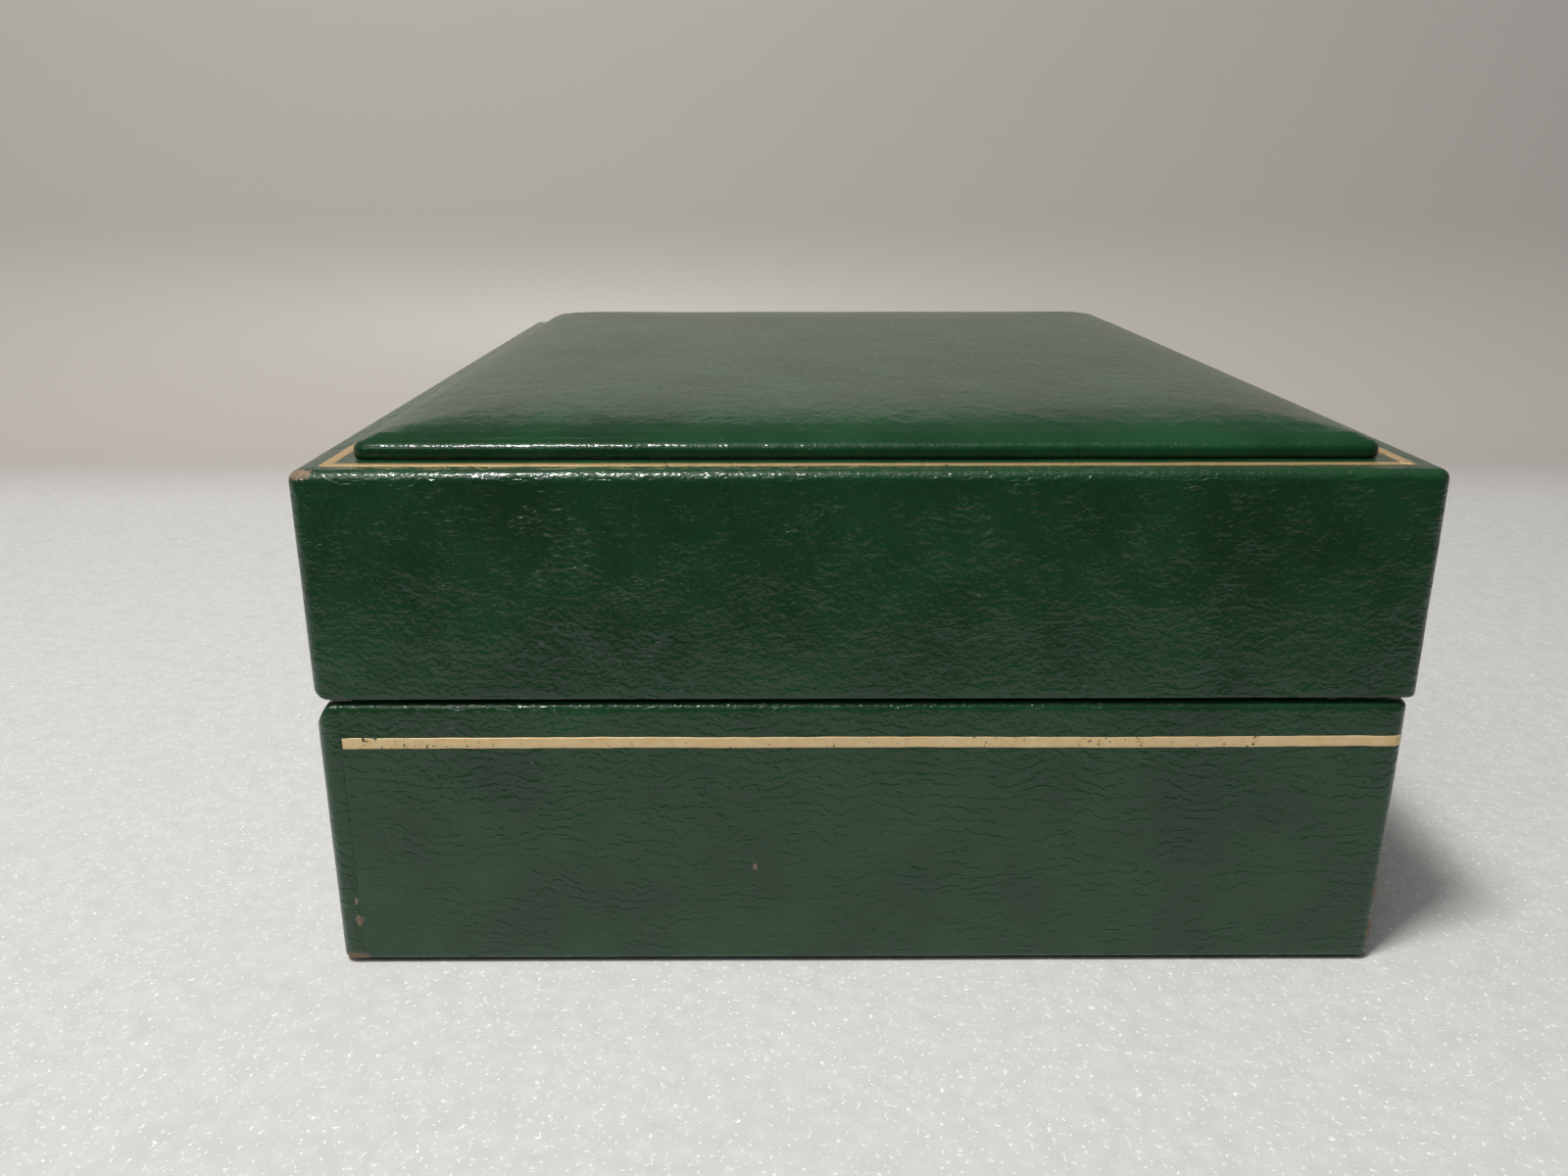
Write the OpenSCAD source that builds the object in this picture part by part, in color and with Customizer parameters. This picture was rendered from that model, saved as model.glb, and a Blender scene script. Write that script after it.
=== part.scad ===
// Hinged watch box, leather over wood, with a padded lid and a concealed hinge.
// Long side along X, hinge at +Y, opening side at -Y, resting on Z = 0.

/* [Overall size] */
// length along X, over the leather
box_length = 137; // [110:1:180]
// depth along Y, over the lid's leather
box_depth = 115; // [90:1:150]
// height of the base half, up to its top edge
base_height = 31; // [28:0.2:45]
// height of the lid half, from its lower edge to its ledge
lid_height = 24.2; // [20:0.2:36]
// gap between the two halves when closed
parting_gap = 0.4; // [0.3:0.05:0.8]
// how far the lid stands out over the base at the front
front_lip = 0.75; // [0:0.05:1.5]

/* [Walls and leather] */
// thickness of the leather
leather_t = 0.8; // [0.5:0.1:1.2]
// thickness of the base walls
base_wall = 6.4; // [5:0.2:9]
// thickness of the lid walls
lid_wall = 5.8; // [4.5:0.2:8]
// thickness of the floor board
floor_board = 3.4; // [2.4:0.2:6]
// thickness of the lid's top board
top_board = 4.5; // [3:0.5:7]
// radius of the upright corners
corner_r = 1.4; // [1:0.1:3]
// radius of the lid's upper edges
lid_top_r = 1.1; // [0.6:0.1:1.4]
// radius of the lid's lower edges
lid_low_r = 0.6; // [0.3:0.1:0.8]
// radius of the base's upper edges
base_top_r = 0.6; // [0.3:0.1:0.8]
// radius of the base's lower edges
base_low_r = 0.7; // [0.3:0.1:0.8]
// how far the back leather wraps onto each end
back_return = 2.5; // [1.5:0.1:5]
// gap of the seam between the two leathers
seam_gap = 0.15; // [0.1:0.05:0.3]
// width of leather turned under the base
turn_under = 8; // [5:0.5:14]

/* [Gold lines] */
// thickness of the foil
foil_t = 0.08; // [0.05:0.01:0.2]
// width of the line on the base
base_line_w = 1.2; // [0.6:0.1:3]
// from the base's top edge down to the line
base_line_drop = 3.8; // [3.6:0.1:10]
// width of the line on the lid's ledge
lid_line_w = 1.2; // [0.6:0.1:1.4]
// from the lid's ends to the middle of its line
lid_line_end = 3.3; // [2.6:0.1:3.9]
// from the lid's front and back to the middle of its line
lid_line_side = 3.1; // [2:0.1:3.2]

/* [Padded panel] */
// width of the ledge at the lid's ends
ledge_end = 5.4; // [4.8:0.1:12]
// width of the ledge at the lid's front and back
ledge_side = 4.7; // [4.2:0.1:12]
// thickness of the panel's board
pad_board_t = 1.2; // [0.8:0.1:3]
// height of the panel over the ledge
pad_rise = 3.8; // [3:0.1:8]
// radius of the panel's upper edges
pad_edge_r = 2.5; // [1:0.1:4]
// thickness of the panel's leather
pad_leather_t = 0.7; // [0.5:0.1:1]

/* [Hinge] */
// depth of the groove, from the back face to the hinge axis
groove_depth = 1.5; // [1.3:0.1:2]
// height of the groove's bevel on the base
base_bevel = 2.5; // [2.2:0.1:3.4]
// height of the groove's bevel on the lid
lid_bevel = 1; // [0.6:0.1:1.4]
// length of one knuckle
knuckle_l = 10; // [6:1:12]
// number of knuckles, an odd number
knuckle_n = 9; // [5:2:9]
// radius over the knuckles
knuckle_r = 1; // [0.8:0.05:1.2]
// radius of the pin
pin_r = 0.5; // [0.35:0.05:0.6]
// radial clearance of the pin in the lid's knuckles
pin_clear = 0.05; // [0.02:0.01:0.1]
// gap between one knuckle and the next
knuckle_gap = 0.2; // [0.1:0.05:0.4]
// clearance round the knuckles in wood and leather
barrel_clear = 0.3; // [0.25:0.05:0.5]
// number of screws in each leaf
screw_n = 3; // [2:1:5]
// radius of a screw's shank
screw_r = 0.8; // [0.6:0.1:1]
// radius of a screw's head
screw_head_r = 1.4; // [1.2:0.1:1.6]
// length of a screw
screw_l = 6; // [4:0.5:9]
// length of a snap spring
spring_l = 11; // [8:0.5:16]
// thickness of a snap spring
spring_t = 0.4; // [0.3:0.05:0.6]

/* [Lining] */
// thickness of the base's lining strips
base_lining = 1.6; // [1:0.1:2.4]
// how far the base's lining stands above its top edge
lining_lip = 2.5; // [1.5:0.1:4]
// thickness of the lid's lining strips
lid_lining = 1.4; // [1:0.1:2.4]
// free height over the lip inside the lid
lip_clear = 0.7; // [0.5:0.1:1.5]
// thickness of the floor lining
floor_lining = 1; // [0.6:0.1:2]
// thickness of the board in the lid's ceiling
ceiling_board = 1.5; // [1:0.1:3]
// thickness of the pad in the lid's ceiling
ceiling_pad = 3.2; // [2:0.1:6]

/* [Insert] */
// from the base's top edge down to the deck's surface
deck_drop = 3.7; // [2:0.1:8]
// thickness of the deck board
deck_t = 2; // [1.5:0.1:3]
// thickness of the velour on the deck
velour_t = 1; // [0.6:0.1:1.5]
// clearance of the insert in the lining
insert_clear = 0.5; // [0.3:0.1:1]
// thickness of the rests under the deck
rest_t = 3; // [2:0.5:6]
// height of the rests
rest_h = 6; // [4:0.5:9]
// length of the well along X
well_l = 60; // [46:1:72]
// width of the well along Y
well_w = 50; // [40:1:60]
// depth of the well below the deck's surface
well_depth = 14.5; // [11:0.5:15]
// thickness of the well's card
well_card = 1.2; // [0.8:0.1:2]
// height of the loose cushion
cushion_h = 29; // [22:0.5:29.5]
// clearance round the cushion in the well
cushion_clear = 1.5; // [0.8:0.1:3]
// thickness of the cushion's cover
cushion_cover_t = 1; // [0.6:0.1:2]
// radius of the cushion's edges
cushion_r = 9; // [5:0.5:11]
// radius of the thumb notch
notch_r = 9; // [7:0.5:11]
// width of the ribbon pull
ribbon_w = 10.5; // [8:0.5:14]
// length of the ribbon pull on the deck
ribbon_l = 15; // [10:0.5:17]
// thickness of the ribbon
ribbon_t = 0.4; // [0.2:0.05:0.6]

/* [Hidden] */
eps = 0.01;
fine = 48;
// outer faces
hx = box_length / 2;
lid_front = -box_depth / 2;
back = box_depth / 2;
base_front = lid_front + front_lip;
// levels of the base
sole_t = 0.3;
board_z = sole_t + leather_t;
wall_z = board_z + floor_board;
wall_top = base_height - leather_t;
// levels of the lid
lid_z = base_height + parting_gap;
ledge_z = lid_z + lid_height;
lid_wall_z = lid_z + leather_t;
lid_board_z = ledge_z - leather_t - top_board;
// hinge axis
axis_y = back - groove_depth;
axis_z = base_height + parting_gap / 2;
barrel_l = knuckle_l * knuckle_n;
leaf_t = leather_t;
spring_y = axis_y - leather_t - 0.1;
leaf_in = base_wall - groove_depth + leather_t - 0.5;
// inner faces of the walls, as insets from the outer faces
base_in = leather_t + base_wall;
lid_in = leather_t + lid_wall;
// levels inside
lining_z = wall_z + floor_lining;
lip_z = base_height + lining_lip;
lid_lining_z = lip_z + lip_clear;
ceiling_z = lid_board_z - ceiling_board;
deck_top = base_height - deck_drop;
deck_z = deck_top - velour_t - deck_t;
well_z = deck_top - well_depth;
// the room inside the base's lining
room_x = hx - base_in - base_lining;
room_f = base_front + base_in + base_lining;
room_b = back - base_in - base_lining;
mid_y = (room_f + room_b) / 2;
// the cushion
cush_l = well_l - 2 * cushion_clear;
cush_w = well_w - 2 * cushion_clear;
cush_z = well_z + 0.1;

// a box between two corners
module span(a, b) {
    translate(a)
        cube(b - a);
}

// a rectangle with rounded corners
module round_rect(w, d, r) {
    square([w - 2 * r, d], center = true);
    square([w, d - 2 * r], center = true);
    for (x = [-1, 1], y = [-1, 1])
        translate([x * (w / 2 - r), y * (d / 2 - r)])
            circle(r = r, $fn = fine);
}

// an upright section with one radius above and one below, standing on the origin
module edge_profile(w, h, top, low) {
    translate([-w / 2, low])
        square([w, h - top - low]);
    translate([-w / 2 + top, low])
        square([w - 2 * top, h - low]);
    translate([-w / 2 + low, 0])
        square([w - 2 * low, h - top]);
    for (x = [-1, 1]) {
        translate([x * (w / 2 - top), h - top])
            circle(r = top, $fn = fine);
        translate([x * (w / 2 - low), low])
            circle(r = low, $fn = fine);
    }
}

// a block with true radii on its upright, upper and lower edges
module soft_block(a, b, side, top, low) {
    size = b - a;
    mid = (a + b) / 2;
    translate([mid.x, mid.y, a.z])
        intersection() {
            linear_extrude(size.z + 1)
                round_rect(size.x, size.y, side);
            rotate([90, 0, 0])
                linear_extrude(size.y + 2, center = true)
                    edge_profile(size.x, size.z, top, low);
            rotate([90, 0, 90])
                linear_extrude(size.x + 2, center = true)
                    edge_profile(size.y, size.z, top, low);
        }
}

// a block with rounded upright corners only
module upright_block(a, b, r) {
    size = b - a;
    mid = (a + b) / 2;
    translate([mid.x, mid.y, a.z])
        linear_extrude(size.z)
            round_rect(size.x, size.y, r);
}

// everything above the groove's bevel on the base, moved in by a distance
module base_bevel_cut(inset) {
    slope = norm([groove_depth, base_bevel]);
    in_y = inset * base_bevel / slope;
    in_z = inset * groove_depth / slope;
    translate([0, -in_y, -in_z])
        rotate([90, 0, 90])
            linear_extrude(box_length + 20, center = true)
                polygon([
                    [axis_y - groove_depth, base_height + base_bevel],
                    [back + groove_depth, base_height - 2 * base_bevel],
                    [back + 20, base_height - 2 * base_bevel],
                    [back + 20, base_height + base_bevel],
                ]);
}

// everything below the groove's bevel on the lid, moved in by a distance
module lid_bevel_cut(inset) {
    slope = norm([groove_depth, lid_bevel]);
    in_y = inset * lid_bevel / slope;
    in_z = inset * groove_depth / slope;
    translate([0, -in_y, in_z])
        rotate([90, 0, 90])
            linear_extrude(box_length + 20, center = true)
                polygon([
                    [axis_y - 2 * groove_depth, lid_z - 2 * lid_bevel],
                    [back + groove_depth, lid_z + 2 * lid_bevel],
                    [back + 20, lid_z + 2 * lid_bevel],
                    [back + 20, lid_z - 2 * lid_bevel],
                ]);
}

// the room that the knuckles turn in
module barrel_room() {
    translate([0, axis_y, axis_z])
        rotate([0, 90, 0])
            cylinder(h = barrel_l + 1, r = knuckle_r + barrel_clear, center = true, $fn = fine);
}

// the cut in the leather for one leaf
module leaf_room(low, high) {
    span([-barrel_l / 2 - 0.3, axis_y - leaf_in - 0.2, low], [barrel_l / 2 + 0.3, axis_y, high]);
}

function screw_x(i) = (i - (screw_n - 1) / 2) * (barrel_l - 14) / (screw_n - 1);
screw_y = axis_y - knuckle_r - barrel_clear - (leaf_in - knuckle_r - barrel_clear) / 2;

// screws that point down from a level, and the same shape a little shorter or wider for their holes
module screws_down(top, grow) {
    for (i = [0:screw_n - 1])
        translate([screw_x(i), screw_y, top - screw_l])
            union() {
                cylinder(h = screw_l - leaf_t + eps, r = screw_r + grow, $fn = fine);
                translate([0, 0, screw_l - leaf_t])
                    cylinder(h = leaf_t, r1 = screw_r + grow, r2 = screw_head_r + grow, $fn = fine);
            }
}

module screws_up(low, grow) {
    translate([0, 0, 2 * low])
        mirror([0, 0, 1])
            screws_down(low, grow);
}

module spring_pockets() {
    for (x = [-1, 1])
        span([x * knuckle_l - 4.3, spring_y - spring_t - 0.1, wall_top - spring_l - 1],
            [x * knuckle_l + 4.3, spring_y + 0.5, wall_top + 1]);
}

// ---- base ----
module base_shell(inset, low, high) {
    difference() {
        if (inset > 0)
            upright_block([-hx + inset, base_front + inset, low], [hx - inset, back - inset, high],
                corner_r - inset);
        else
            soft_block([-hx, base_front, low], [hx, back, high], corner_r, base_top_r, base_low_r);
        base_bevel_cut(inset);
    }
}

module base_core() {
    base_shell(leather_t, wall_z, wall_top);
}

module base_front_wall() {
    color("#c8a878")
        intersection() {
            base_core();
            span([-hx, base_front, 0], [hx, base_front + base_in, base_height]);
        }
}

module base_back_wall() {
    color("#c8a878")
        difference() {
            intersection() {
                base_core();
                span([-hx, back - base_in, 0], [hx, back, base_height]);
            }
            barrel_room();
            spring_pockets();
            screws_down(base_height, 0);
        }
}

module base_end(side) {
    x0 = side * (hx - leather_t);
    x1 = side * (hx - base_in);
    color("#c8a878")
        span([min(x0, x1), base_front + base_in, wall_z], [max(x0, x1), back - base_in, wall_top]);
}

module base_left_end() { base_end(-1); }

module base_right_end() { base_end(1); }

module base_floor_board() {
    color("#c8a878")
        upright_block([-hx + leather_t, base_front + leather_t, board_z],
            [hx - leather_t, back - leather_t, wall_z], corner_r - leather_t);
}

// the leather of the whole base, before it is parted at the seam
module base_skin() {
    difference() {
        base_shell(0, sole_t, base_height);
        base_shell(leather_t, board_z, wall_top);
        span([-hx + base_in, base_front + base_in, wall_z], [hx - base_in, back - base_in, base_height + 5]);
        span([-hx + turn_under, base_front + turn_under, -1], [hx - turn_under, back - turn_under, board_z + eps]);
        barrel_room();
        leaf_room(wall_top - eps, base_height + 1);
    }
}

module base_leather() {
    color("#1f3a26")
        intersection() {
            base_skin();
            span([-hx - 1, base_front - 1, 0], [hx + 1, back - back_return - seam_gap, base_height + 1]);
        }
}

module base_back_leather() {
    color("#1f3a26")
        intersection() {
            base_skin();
            span([-hx - 1, back - back_return, 0], [hx + 1, back + 1, base_height + 1]);
        }
}

module base_gold_line() {
    z1 = base_height - base_line_drop;
    mid = (base_front + back) / 2;
    color("#c8a463")
        intersection() {
            translate([0, mid, z1 - base_line_w])
                linear_extrude(base_line_w)
                    difference() {
                        round_rect(2 * hx + 2 * foil_t, back - base_front + 2 * foil_t, corner_r + foil_t);
                        round_rect(2 * hx, back - base_front, corner_r);
                    }
            span([-hx - 1, base_front - 1, 0], [hx + 1, back - back_return - seam_gap, base_height]);
        }
}

module base_infill_card() {
    color("#8a8478")
        span([-hx + turn_under, base_front + turn_under, sole_t], [hx - turn_under, back - turn_under, board_z]);
}

module base_underside_cloth() {
    color("#20301f")
        span([-hx + 1.5, base_front + 1.5, 0], [hx - 1.5, back - 1.5, sole_t]);
}

module base_front_lining() {
    color("#cdb892")
        span([-hx + base_in, base_front + base_in, lining_z], [hx - base_in, room_f, lip_z]);
}

module base_back_lining() {
    color("#cdb892")
        span([-hx + base_in, room_b, lining_z], [hx - base_in, back - base_in, lip_z]);
}

module base_side_lining(side) {
    x0 = side * (hx - base_in);
    x1 = side * room_x;
    color("#cdb892")
        span([min(x0, x1), room_f, lining_z], [max(x0, x1), room_b, lip_z]);
}

module base_left_lining() { base_side_lining(-1); }

module base_right_lining() { base_side_lining(1); }

module base_floor_lining() {
    color("#cdb892")
        span([-hx + base_in, base_front + base_in, wall_z], [hx - base_in, back - base_in, lining_z]);
}

// ---- insert for the watch ----
module insert_rest(side) {
    x0 = side * room_x;
    x1 = side * (room_x - rest_t);
    color("#c8a878")
        span([min(x0, x1), room_f + 3, deck_z - rest_h], [max(x0, x1), room_b - 3, deck_z]);
}

module insert_rest_left() { insert_rest(-1); }

module insert_rest_right() { insert_rest(1); }

// one layer of the deck, with the well and the thumb notch cut out
module deck_layer(low, high, well_grow) {
    difference() {
        span([-room_x + insert_clear, room_f + insert_clear, low], [room_x - insert_clear, room_b - insert_clear, high]);
        span([-well_l / 2 - well_grow, mid_y - well_w / 2 - well_grow, low - 1],
            [well_l / 2 + well_grow, mid_y + well_w / 2 + well_grow, high + 1]);
        translate([0, room_f + insert_clear, low - 1])
            cylinder(h = high - low + 2, r = notch_r, $fn = 64);
    }
}

module insert_deck_board() {
    color("#8a8478")
        deck_layer(deck_z, deck_z + deck_t, well_card);
}

module insert_deck_velour() {
    color("#d2bf9b")
        deck_layer(deck_z + deck_t, deck_top, 0);
}

module insert_well_liner() {
    color("#d2bf9b")
        difference() {
            span([-well_l / 2 - well_card, mid_y - well_w / 2 - well_card, well_z - well_card],
                [well_l / 2 + well_card, mid_y + well_w / 2 + well_card, deck_z + deck_t]);
            span([-well_l / 2, mid_y - well_w / 2, well_z], [well_l / 2, mid_y + well_w / 2, deck_top + 1]);
        }
}

module insert_pull_ribbon() {
    color("#b9a271")
        translate([0, room_f + insert_clear + notch_r + 0.4, 0])
            span([-ribbon_w / 2, 0, deck_top], [ribbon_w / 2, min(ribbon_l, mid_y - well_w / 2 - room_f
                - insert_clear - notch_r - 1.4), deck_top + ribbon_t]);
}

module cushion_foam() {
    t = cushion_cover_t;
    color("#e0d8c0")
        soft_block([-cush_l / 2 + t, mid_y - cush_w / 2 + t, cush_z + t],
            [cush_l / 2 - t, mid_y + cush_w / 2 - t, cush_z + cushion_h - t],
            cushion_r - t, cushion_r - t, cushion_r - t);
}

module cushion_cover() {
    color("#d2bf9b")
        difference() {
            soft_block([-cush_l / 2, mid_y - cush_w / 2, cush_z],
                [cush_l / 2, mid_y + cush_w / 2, cush_z + cushion_h], cushion_r, cushion_r, cushion_r);
            cushion_foam();
        }
}

// ---- hinge ----
// the knuckles of one leaf: first is 0 for the base and 1 for the lid
module knuckles(first, bore) {
    for (i = [first:2:knuckle_n - 1]) {
        x = (i - (knuckle_n - 1) / 2) * knuckle_l;
        l = knuckle_l - knuckle_gap;
        translate([x, axis_y, axis_z])
            rotate([0, 90, 0])
                cylinder(h = l, r = knuckle_r, center = true, $fn = fine);
        low = first == 0 ? axis_z - parting_gap / 2 - leaf_t : axis_z + parting_gap / 2;
        span([x - l / 2, axis_y - knuckle_r - barrel_clear - 0.1, low], [x + l / 2, axis_y, low + leaf_t]);
    }
}

module pin_bore(r) {
    translate([0, axis_y, axis_z])
        rotate([0, 90, 0])
            cylinder(h = barrel_l + 2, r = r, center = true, $fn = fine);
}

module hinge_base_leaf() {
    color("#b08d3f")
        difference() {
            union() {
                span([-barrel_l / 2, axis_y - leaf_in, wall_top],
                    [barrel_l / 2, axis_y - knuckle_r - barrel_clear, base_height]);
                knuckles(0, 0);
            }
            pin_bore(pin_r);
            screws_down(base_height, 0);
        }
}

module hinge_lid_leaf() {
    color("#b08d3f")
        difference() {
            union() {
                span([-barrel_l / 2, axis_y - leaf_in, lid_z],
                    [barrel_l / 2, axis_y - knuckle_r - barrel_clear, lid_wall_z]);
                knuckles(1, 0);
            }
            pin_bore(pin_r + pin_clear);
            screws_up(lid_z, 0);
        }
}

module hinge_pin() {
    color("#9a9a98")
        translate([0, axis_y, axis_z])
            rotate([0, 90, 0])
                cylinder(h = barrel_l - knuckle_gap, r = pin_r, center = true, $fn = fine);
}

module hinge_base_screws() {
    color("#b08d3f")
        screws_down(base_height, 0);
}

module hinge_lid_screws() {
    color("#b08d3f")
        screws_up(lid_z, 0);
}

module hinge_snap_springs() {
    tip = axis_z - knuckle_r - 0.15;
    color("#8d8f91")
        for (x = [-1, 1]) {
            span([x * knuckle_l - 4, spring_y - spring_t, wall_top - spring_l],
                [x * knuckle_l + 4, spring_y, tip - 0.4]);
            translate([x * knuckle_l - 4, spring_y, tip - 0.5])
                rotate([0, 90, 0])
                    cylinder(h = 8, r = 0.4, $fn = fine);
        }
}

// ---- lid ----
module lid_shell(inset, low, high) {
    difference() {
        if (inset > 0)
            upright_block([-hx + inset, lid_front + inset, low], [hx - inset, back - inset, high],
                corner_r - inset);
        else
            soft_block([-hx, lid_front, low], [hx, back, high], corner_r, lid_top_r, lid_low_r);
        lid_bevel_cut(inset);
    }
}

module lid_core() {
    lid_shell(leather_t, lid_wall_z, lid_board_z);
}

module lid_front_wall() {
    color("#c8a878")
        intersection() {
            lid_core();
            span([-hx, lid_front, 0], [hx, lid_front + lid_in, ledge_z]);
        }
}

module lid_back_wall() {
    color("#c8a878")
        difference() {
            intersection() {
                lid_core();
                span([-hx, back - lid_in, 0], [hx, back, ledge_z]);
            }
            barrel_room();
            screws_up(lid_z, 0);
        }
}

module lid_end(side) {
    x0 = side * (hx - leather_t);
    x1 = side * (hx - lid_in);
    color("#c8a878")
        span([min(x0, x1), lid_front + lid_in, lid_wall_z], [max(x0, x1), back - lid_in, lid_board_z]);
}

module lid_left_end() { lid_end(-1); }

module lid_right_end() { lid_end(1); }

module lid_top_board() {
    color("#c8a878")
        upright_block([-hx + leather_t, lid_front + leather_t, lid_board_z],
            [hx - leather_t, back - leather_t, ledge_z - leather_t], corner_r - leather_t);
}

module lid_leather() {
    color("#1f3a26")
        difference() {
            lid_shell(0, lid_z, ledge_z);
            lid_shell(leather_t, lid_wall_z, ledge_z - leather_t);
            span([-hx + lid_in, lid_front + lid_in, lid_z - 1], [hx - lid_in, back - lid_in, lid_board_z]);
            barrel_room();
            leaf_room(lid_z - 1, lid_wall_z + eps);
        }
}

module lid_gold_frame() {
    w = lid_line_w / 2;
    color("#c8a463")
        difference() {
            span([-hx + lid_line_end - w, lid_front + lid_line_side - w, ledge_z],
                [hx - lid_line_end + w, back - lid_line_side + w, ledge_z + foil_t]);
            span([-hx + lid_line_end + w, lid_front + lid_line_side + w, ledge_z - 1],
                [hx - lid_line_end - w, back - lid_line_side - w, ledge_z + 1]);
        }
}

// ---- padded panel ----
module pad_block(inset, low, top) {
    soft_block([-hx + ledge_end + inset, lid_front + ledge_side + inset, low],
        [hx - ledge_end - inset, back - ledge_side - inset, top],
        2.2 - inset, pad_edge_r - inset, 0.05);
}

module lid_pad_board() {
    e = ledge_end + pad_leather_t;
    s = ledge_side + pad_leather_t;
    color("#8a8478")
        upright_block([-hx + e, lid_front + s, ledge_z], [hx - e, back - s, ledge_z + pad_board_t], 1.5);
}

module lid_pad_foam() {
    color("#e0d8c0")
        intersection() {
            pad_block(pad_leather_t, ledge_z - 5, ledge_z + pad_rise - pad_leather_t);
            span([-hx, lid_front, ledge_z + pad_board_t], [hx, back, ledge_z + 20]);
        }
}

module lid_pad_leather() {
    color("#24452a")
        difference() {
            pad_block(0, ledge_z, ledge_z + pad_rise);
            translate([0, 0, -1])
                lid_pad_board();
            lid_pad_board();
            lid_pad_foam();
        }
}

// ---- lid lining ----
module lid_front_lining() {
    color("#cdb892")
        span([-hx + lid_in, lid_front + lid_in, lid_lining_z], [hx - lid_in, lid_front + lid_in + lid_lining, lid_board_z]);
}

module lid_back_lining() {
    color("#cdb892")
        span([-hx + lid_in, back - lid_in - lid_lining, lid_lining_z], [hx - lid_in, back - lid_in, lid_board_z]);
}

module lid_side_lining(side) {
    x0 = side * (hx - lid_in);
    x1 = side * (hx - lid_in - lid_lining);
    color("#cdb892")
        span([min(x0, x1), lid_front + lid_in + lid_lining, lid_lining_z],
            [max(x0, x1), back - lid_in - lid_lining, lid_board_z]);
}

module lid_left_lining() { lid_side_lining(-1); }

module lid_right_lining() { lid_side_lining(1); }

module lid_ceiling_board() {
    i = lid_in + lid_lining;
    color("#8a8478")
        span([-hx + i, lid_front + i, ceiling_z], [hx - i, back - i, lid_board_z]);
}

module lid_ceiling_pad() {
    i = lid_in + lid_lining + 0.2;
    color("#d8caa4")
        soft_block([-hx + i, lid_front + i, ceiling_z - ceiling_pad], [hx - i, back - i, ceiling_z], 1.5, 0.2, 1.5);
}

base_front_wall();
base_back_wall();
base_left_end();
base_right_end();
base_floor_board();
base_leather();
base_back_leather();
base_gold_line();
base_infill_card();
base_underside_cloth();
base_front_lining();
base_back_lining();
base_left_lining();
base_right_lining();
base_floor_lining();
insert_rest_left();
insert_rest_right();
insert_deck_board();
insert_deck_velour();
insert_well_liner();
insert_pull_ribbon();
cushion_foam();
cushion_cover();
hinge_base_leaf();
hinge_base_screws();
hinge_pin();
hinge_snap_springs();
lid_front_wall();
lid_back_wall();
lid_left_end();
lid_right_end();
lid_top_board();
lid_leather();
lid_gold_frame();
lid_pad_board();
lid_pad_foam();
lid_pad_leather();
lid_front_lining();
lid_back_lining();
lid_left_lining();
lid_right_lining();
lid_ceiling_board();
lid_ceiling_pad();
hinge_lid_leaf();
hinge_lid_screws();
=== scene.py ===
# %% [markdown]
# A watch box of green leather over wood, with a padded lid and gold lines, on a pale sheet.
# The CAD frame brings the wood, the card and the brass hinge, whose shapes are already right.
# Everything that is soft or worn is made again here: the leather, the gold, the pads, the
# velour and the ribbon. Lengths are in millimetres in the tables, and in metres in meshes.

# %% The frame
import math

import bmesh
import bpy
import numpy as np
from mathutils import Matrix, Vector, noise


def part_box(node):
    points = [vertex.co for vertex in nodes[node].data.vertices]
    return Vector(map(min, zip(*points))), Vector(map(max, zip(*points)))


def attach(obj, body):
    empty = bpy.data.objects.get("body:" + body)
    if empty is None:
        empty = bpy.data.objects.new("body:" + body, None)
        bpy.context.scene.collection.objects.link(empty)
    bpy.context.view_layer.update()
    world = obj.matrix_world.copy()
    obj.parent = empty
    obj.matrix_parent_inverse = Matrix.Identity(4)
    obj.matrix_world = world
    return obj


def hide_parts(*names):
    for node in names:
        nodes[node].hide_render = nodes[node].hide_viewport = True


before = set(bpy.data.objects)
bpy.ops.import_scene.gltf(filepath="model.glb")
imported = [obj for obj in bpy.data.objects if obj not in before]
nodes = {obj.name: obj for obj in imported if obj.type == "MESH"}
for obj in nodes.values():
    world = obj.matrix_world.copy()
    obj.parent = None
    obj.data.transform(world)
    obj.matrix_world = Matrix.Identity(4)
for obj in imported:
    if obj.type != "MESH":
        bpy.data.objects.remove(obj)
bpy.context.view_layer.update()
scene = bpy.context.scene
MM = 0.001

# %% [markdown]
# The sizes below are the CAD's own, read from its boxes where a box gives them.

# %% Sizes
lid_lo, lid_hi = (np.array(c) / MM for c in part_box("lid_leather"))
base_lo, base_hi = (np.array(c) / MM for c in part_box("base_leather"))
back_lo, back_hi = (np.array(c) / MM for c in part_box("base_back_leather"))
HX = lid_hi[0]
BACK = lid_hi[1]
LID_FRONT, BASE_FRONT = lid_lo[1], base_lo[1]
LID_Z, LEDGE_Z = lid_lo[2], lid_hi[2]
BASE_Z, BASE_TOP = base_lo[2], base_hi[2]
SEAM_Y = back_lo[1]
SKIN = 0.8  # thickness of the leather
BASE_IN, LID_IN = 7.2, 6.6  # how far the leather turns in over the walls
AXIS_Y, AXIS_Z = 56.0, 31.2  # the hinge axis
BARREL = 45.4  # half the length of the knuckles, with room
BARREL_ROOM = 1.32  # radius kept free round them
LEAF_LO, LEAF_HI = 49.7, 55.2  # where the hinge leaves lie, across the box
CORNER_R = 1.4
UNEVEN = 0.09  # how far glued leather strays from flat
print("lid", lid_lo, lid_hi, "base", base_lo, base_hi, "seam", SEAM_Y)


# %% [markdown]
# Small helpers. Colours are written as sRGB hex and turned to linear in one place. A material
# is one Principled shader and a few nodes, added with `N`, which sets inputs by name or index.

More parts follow.
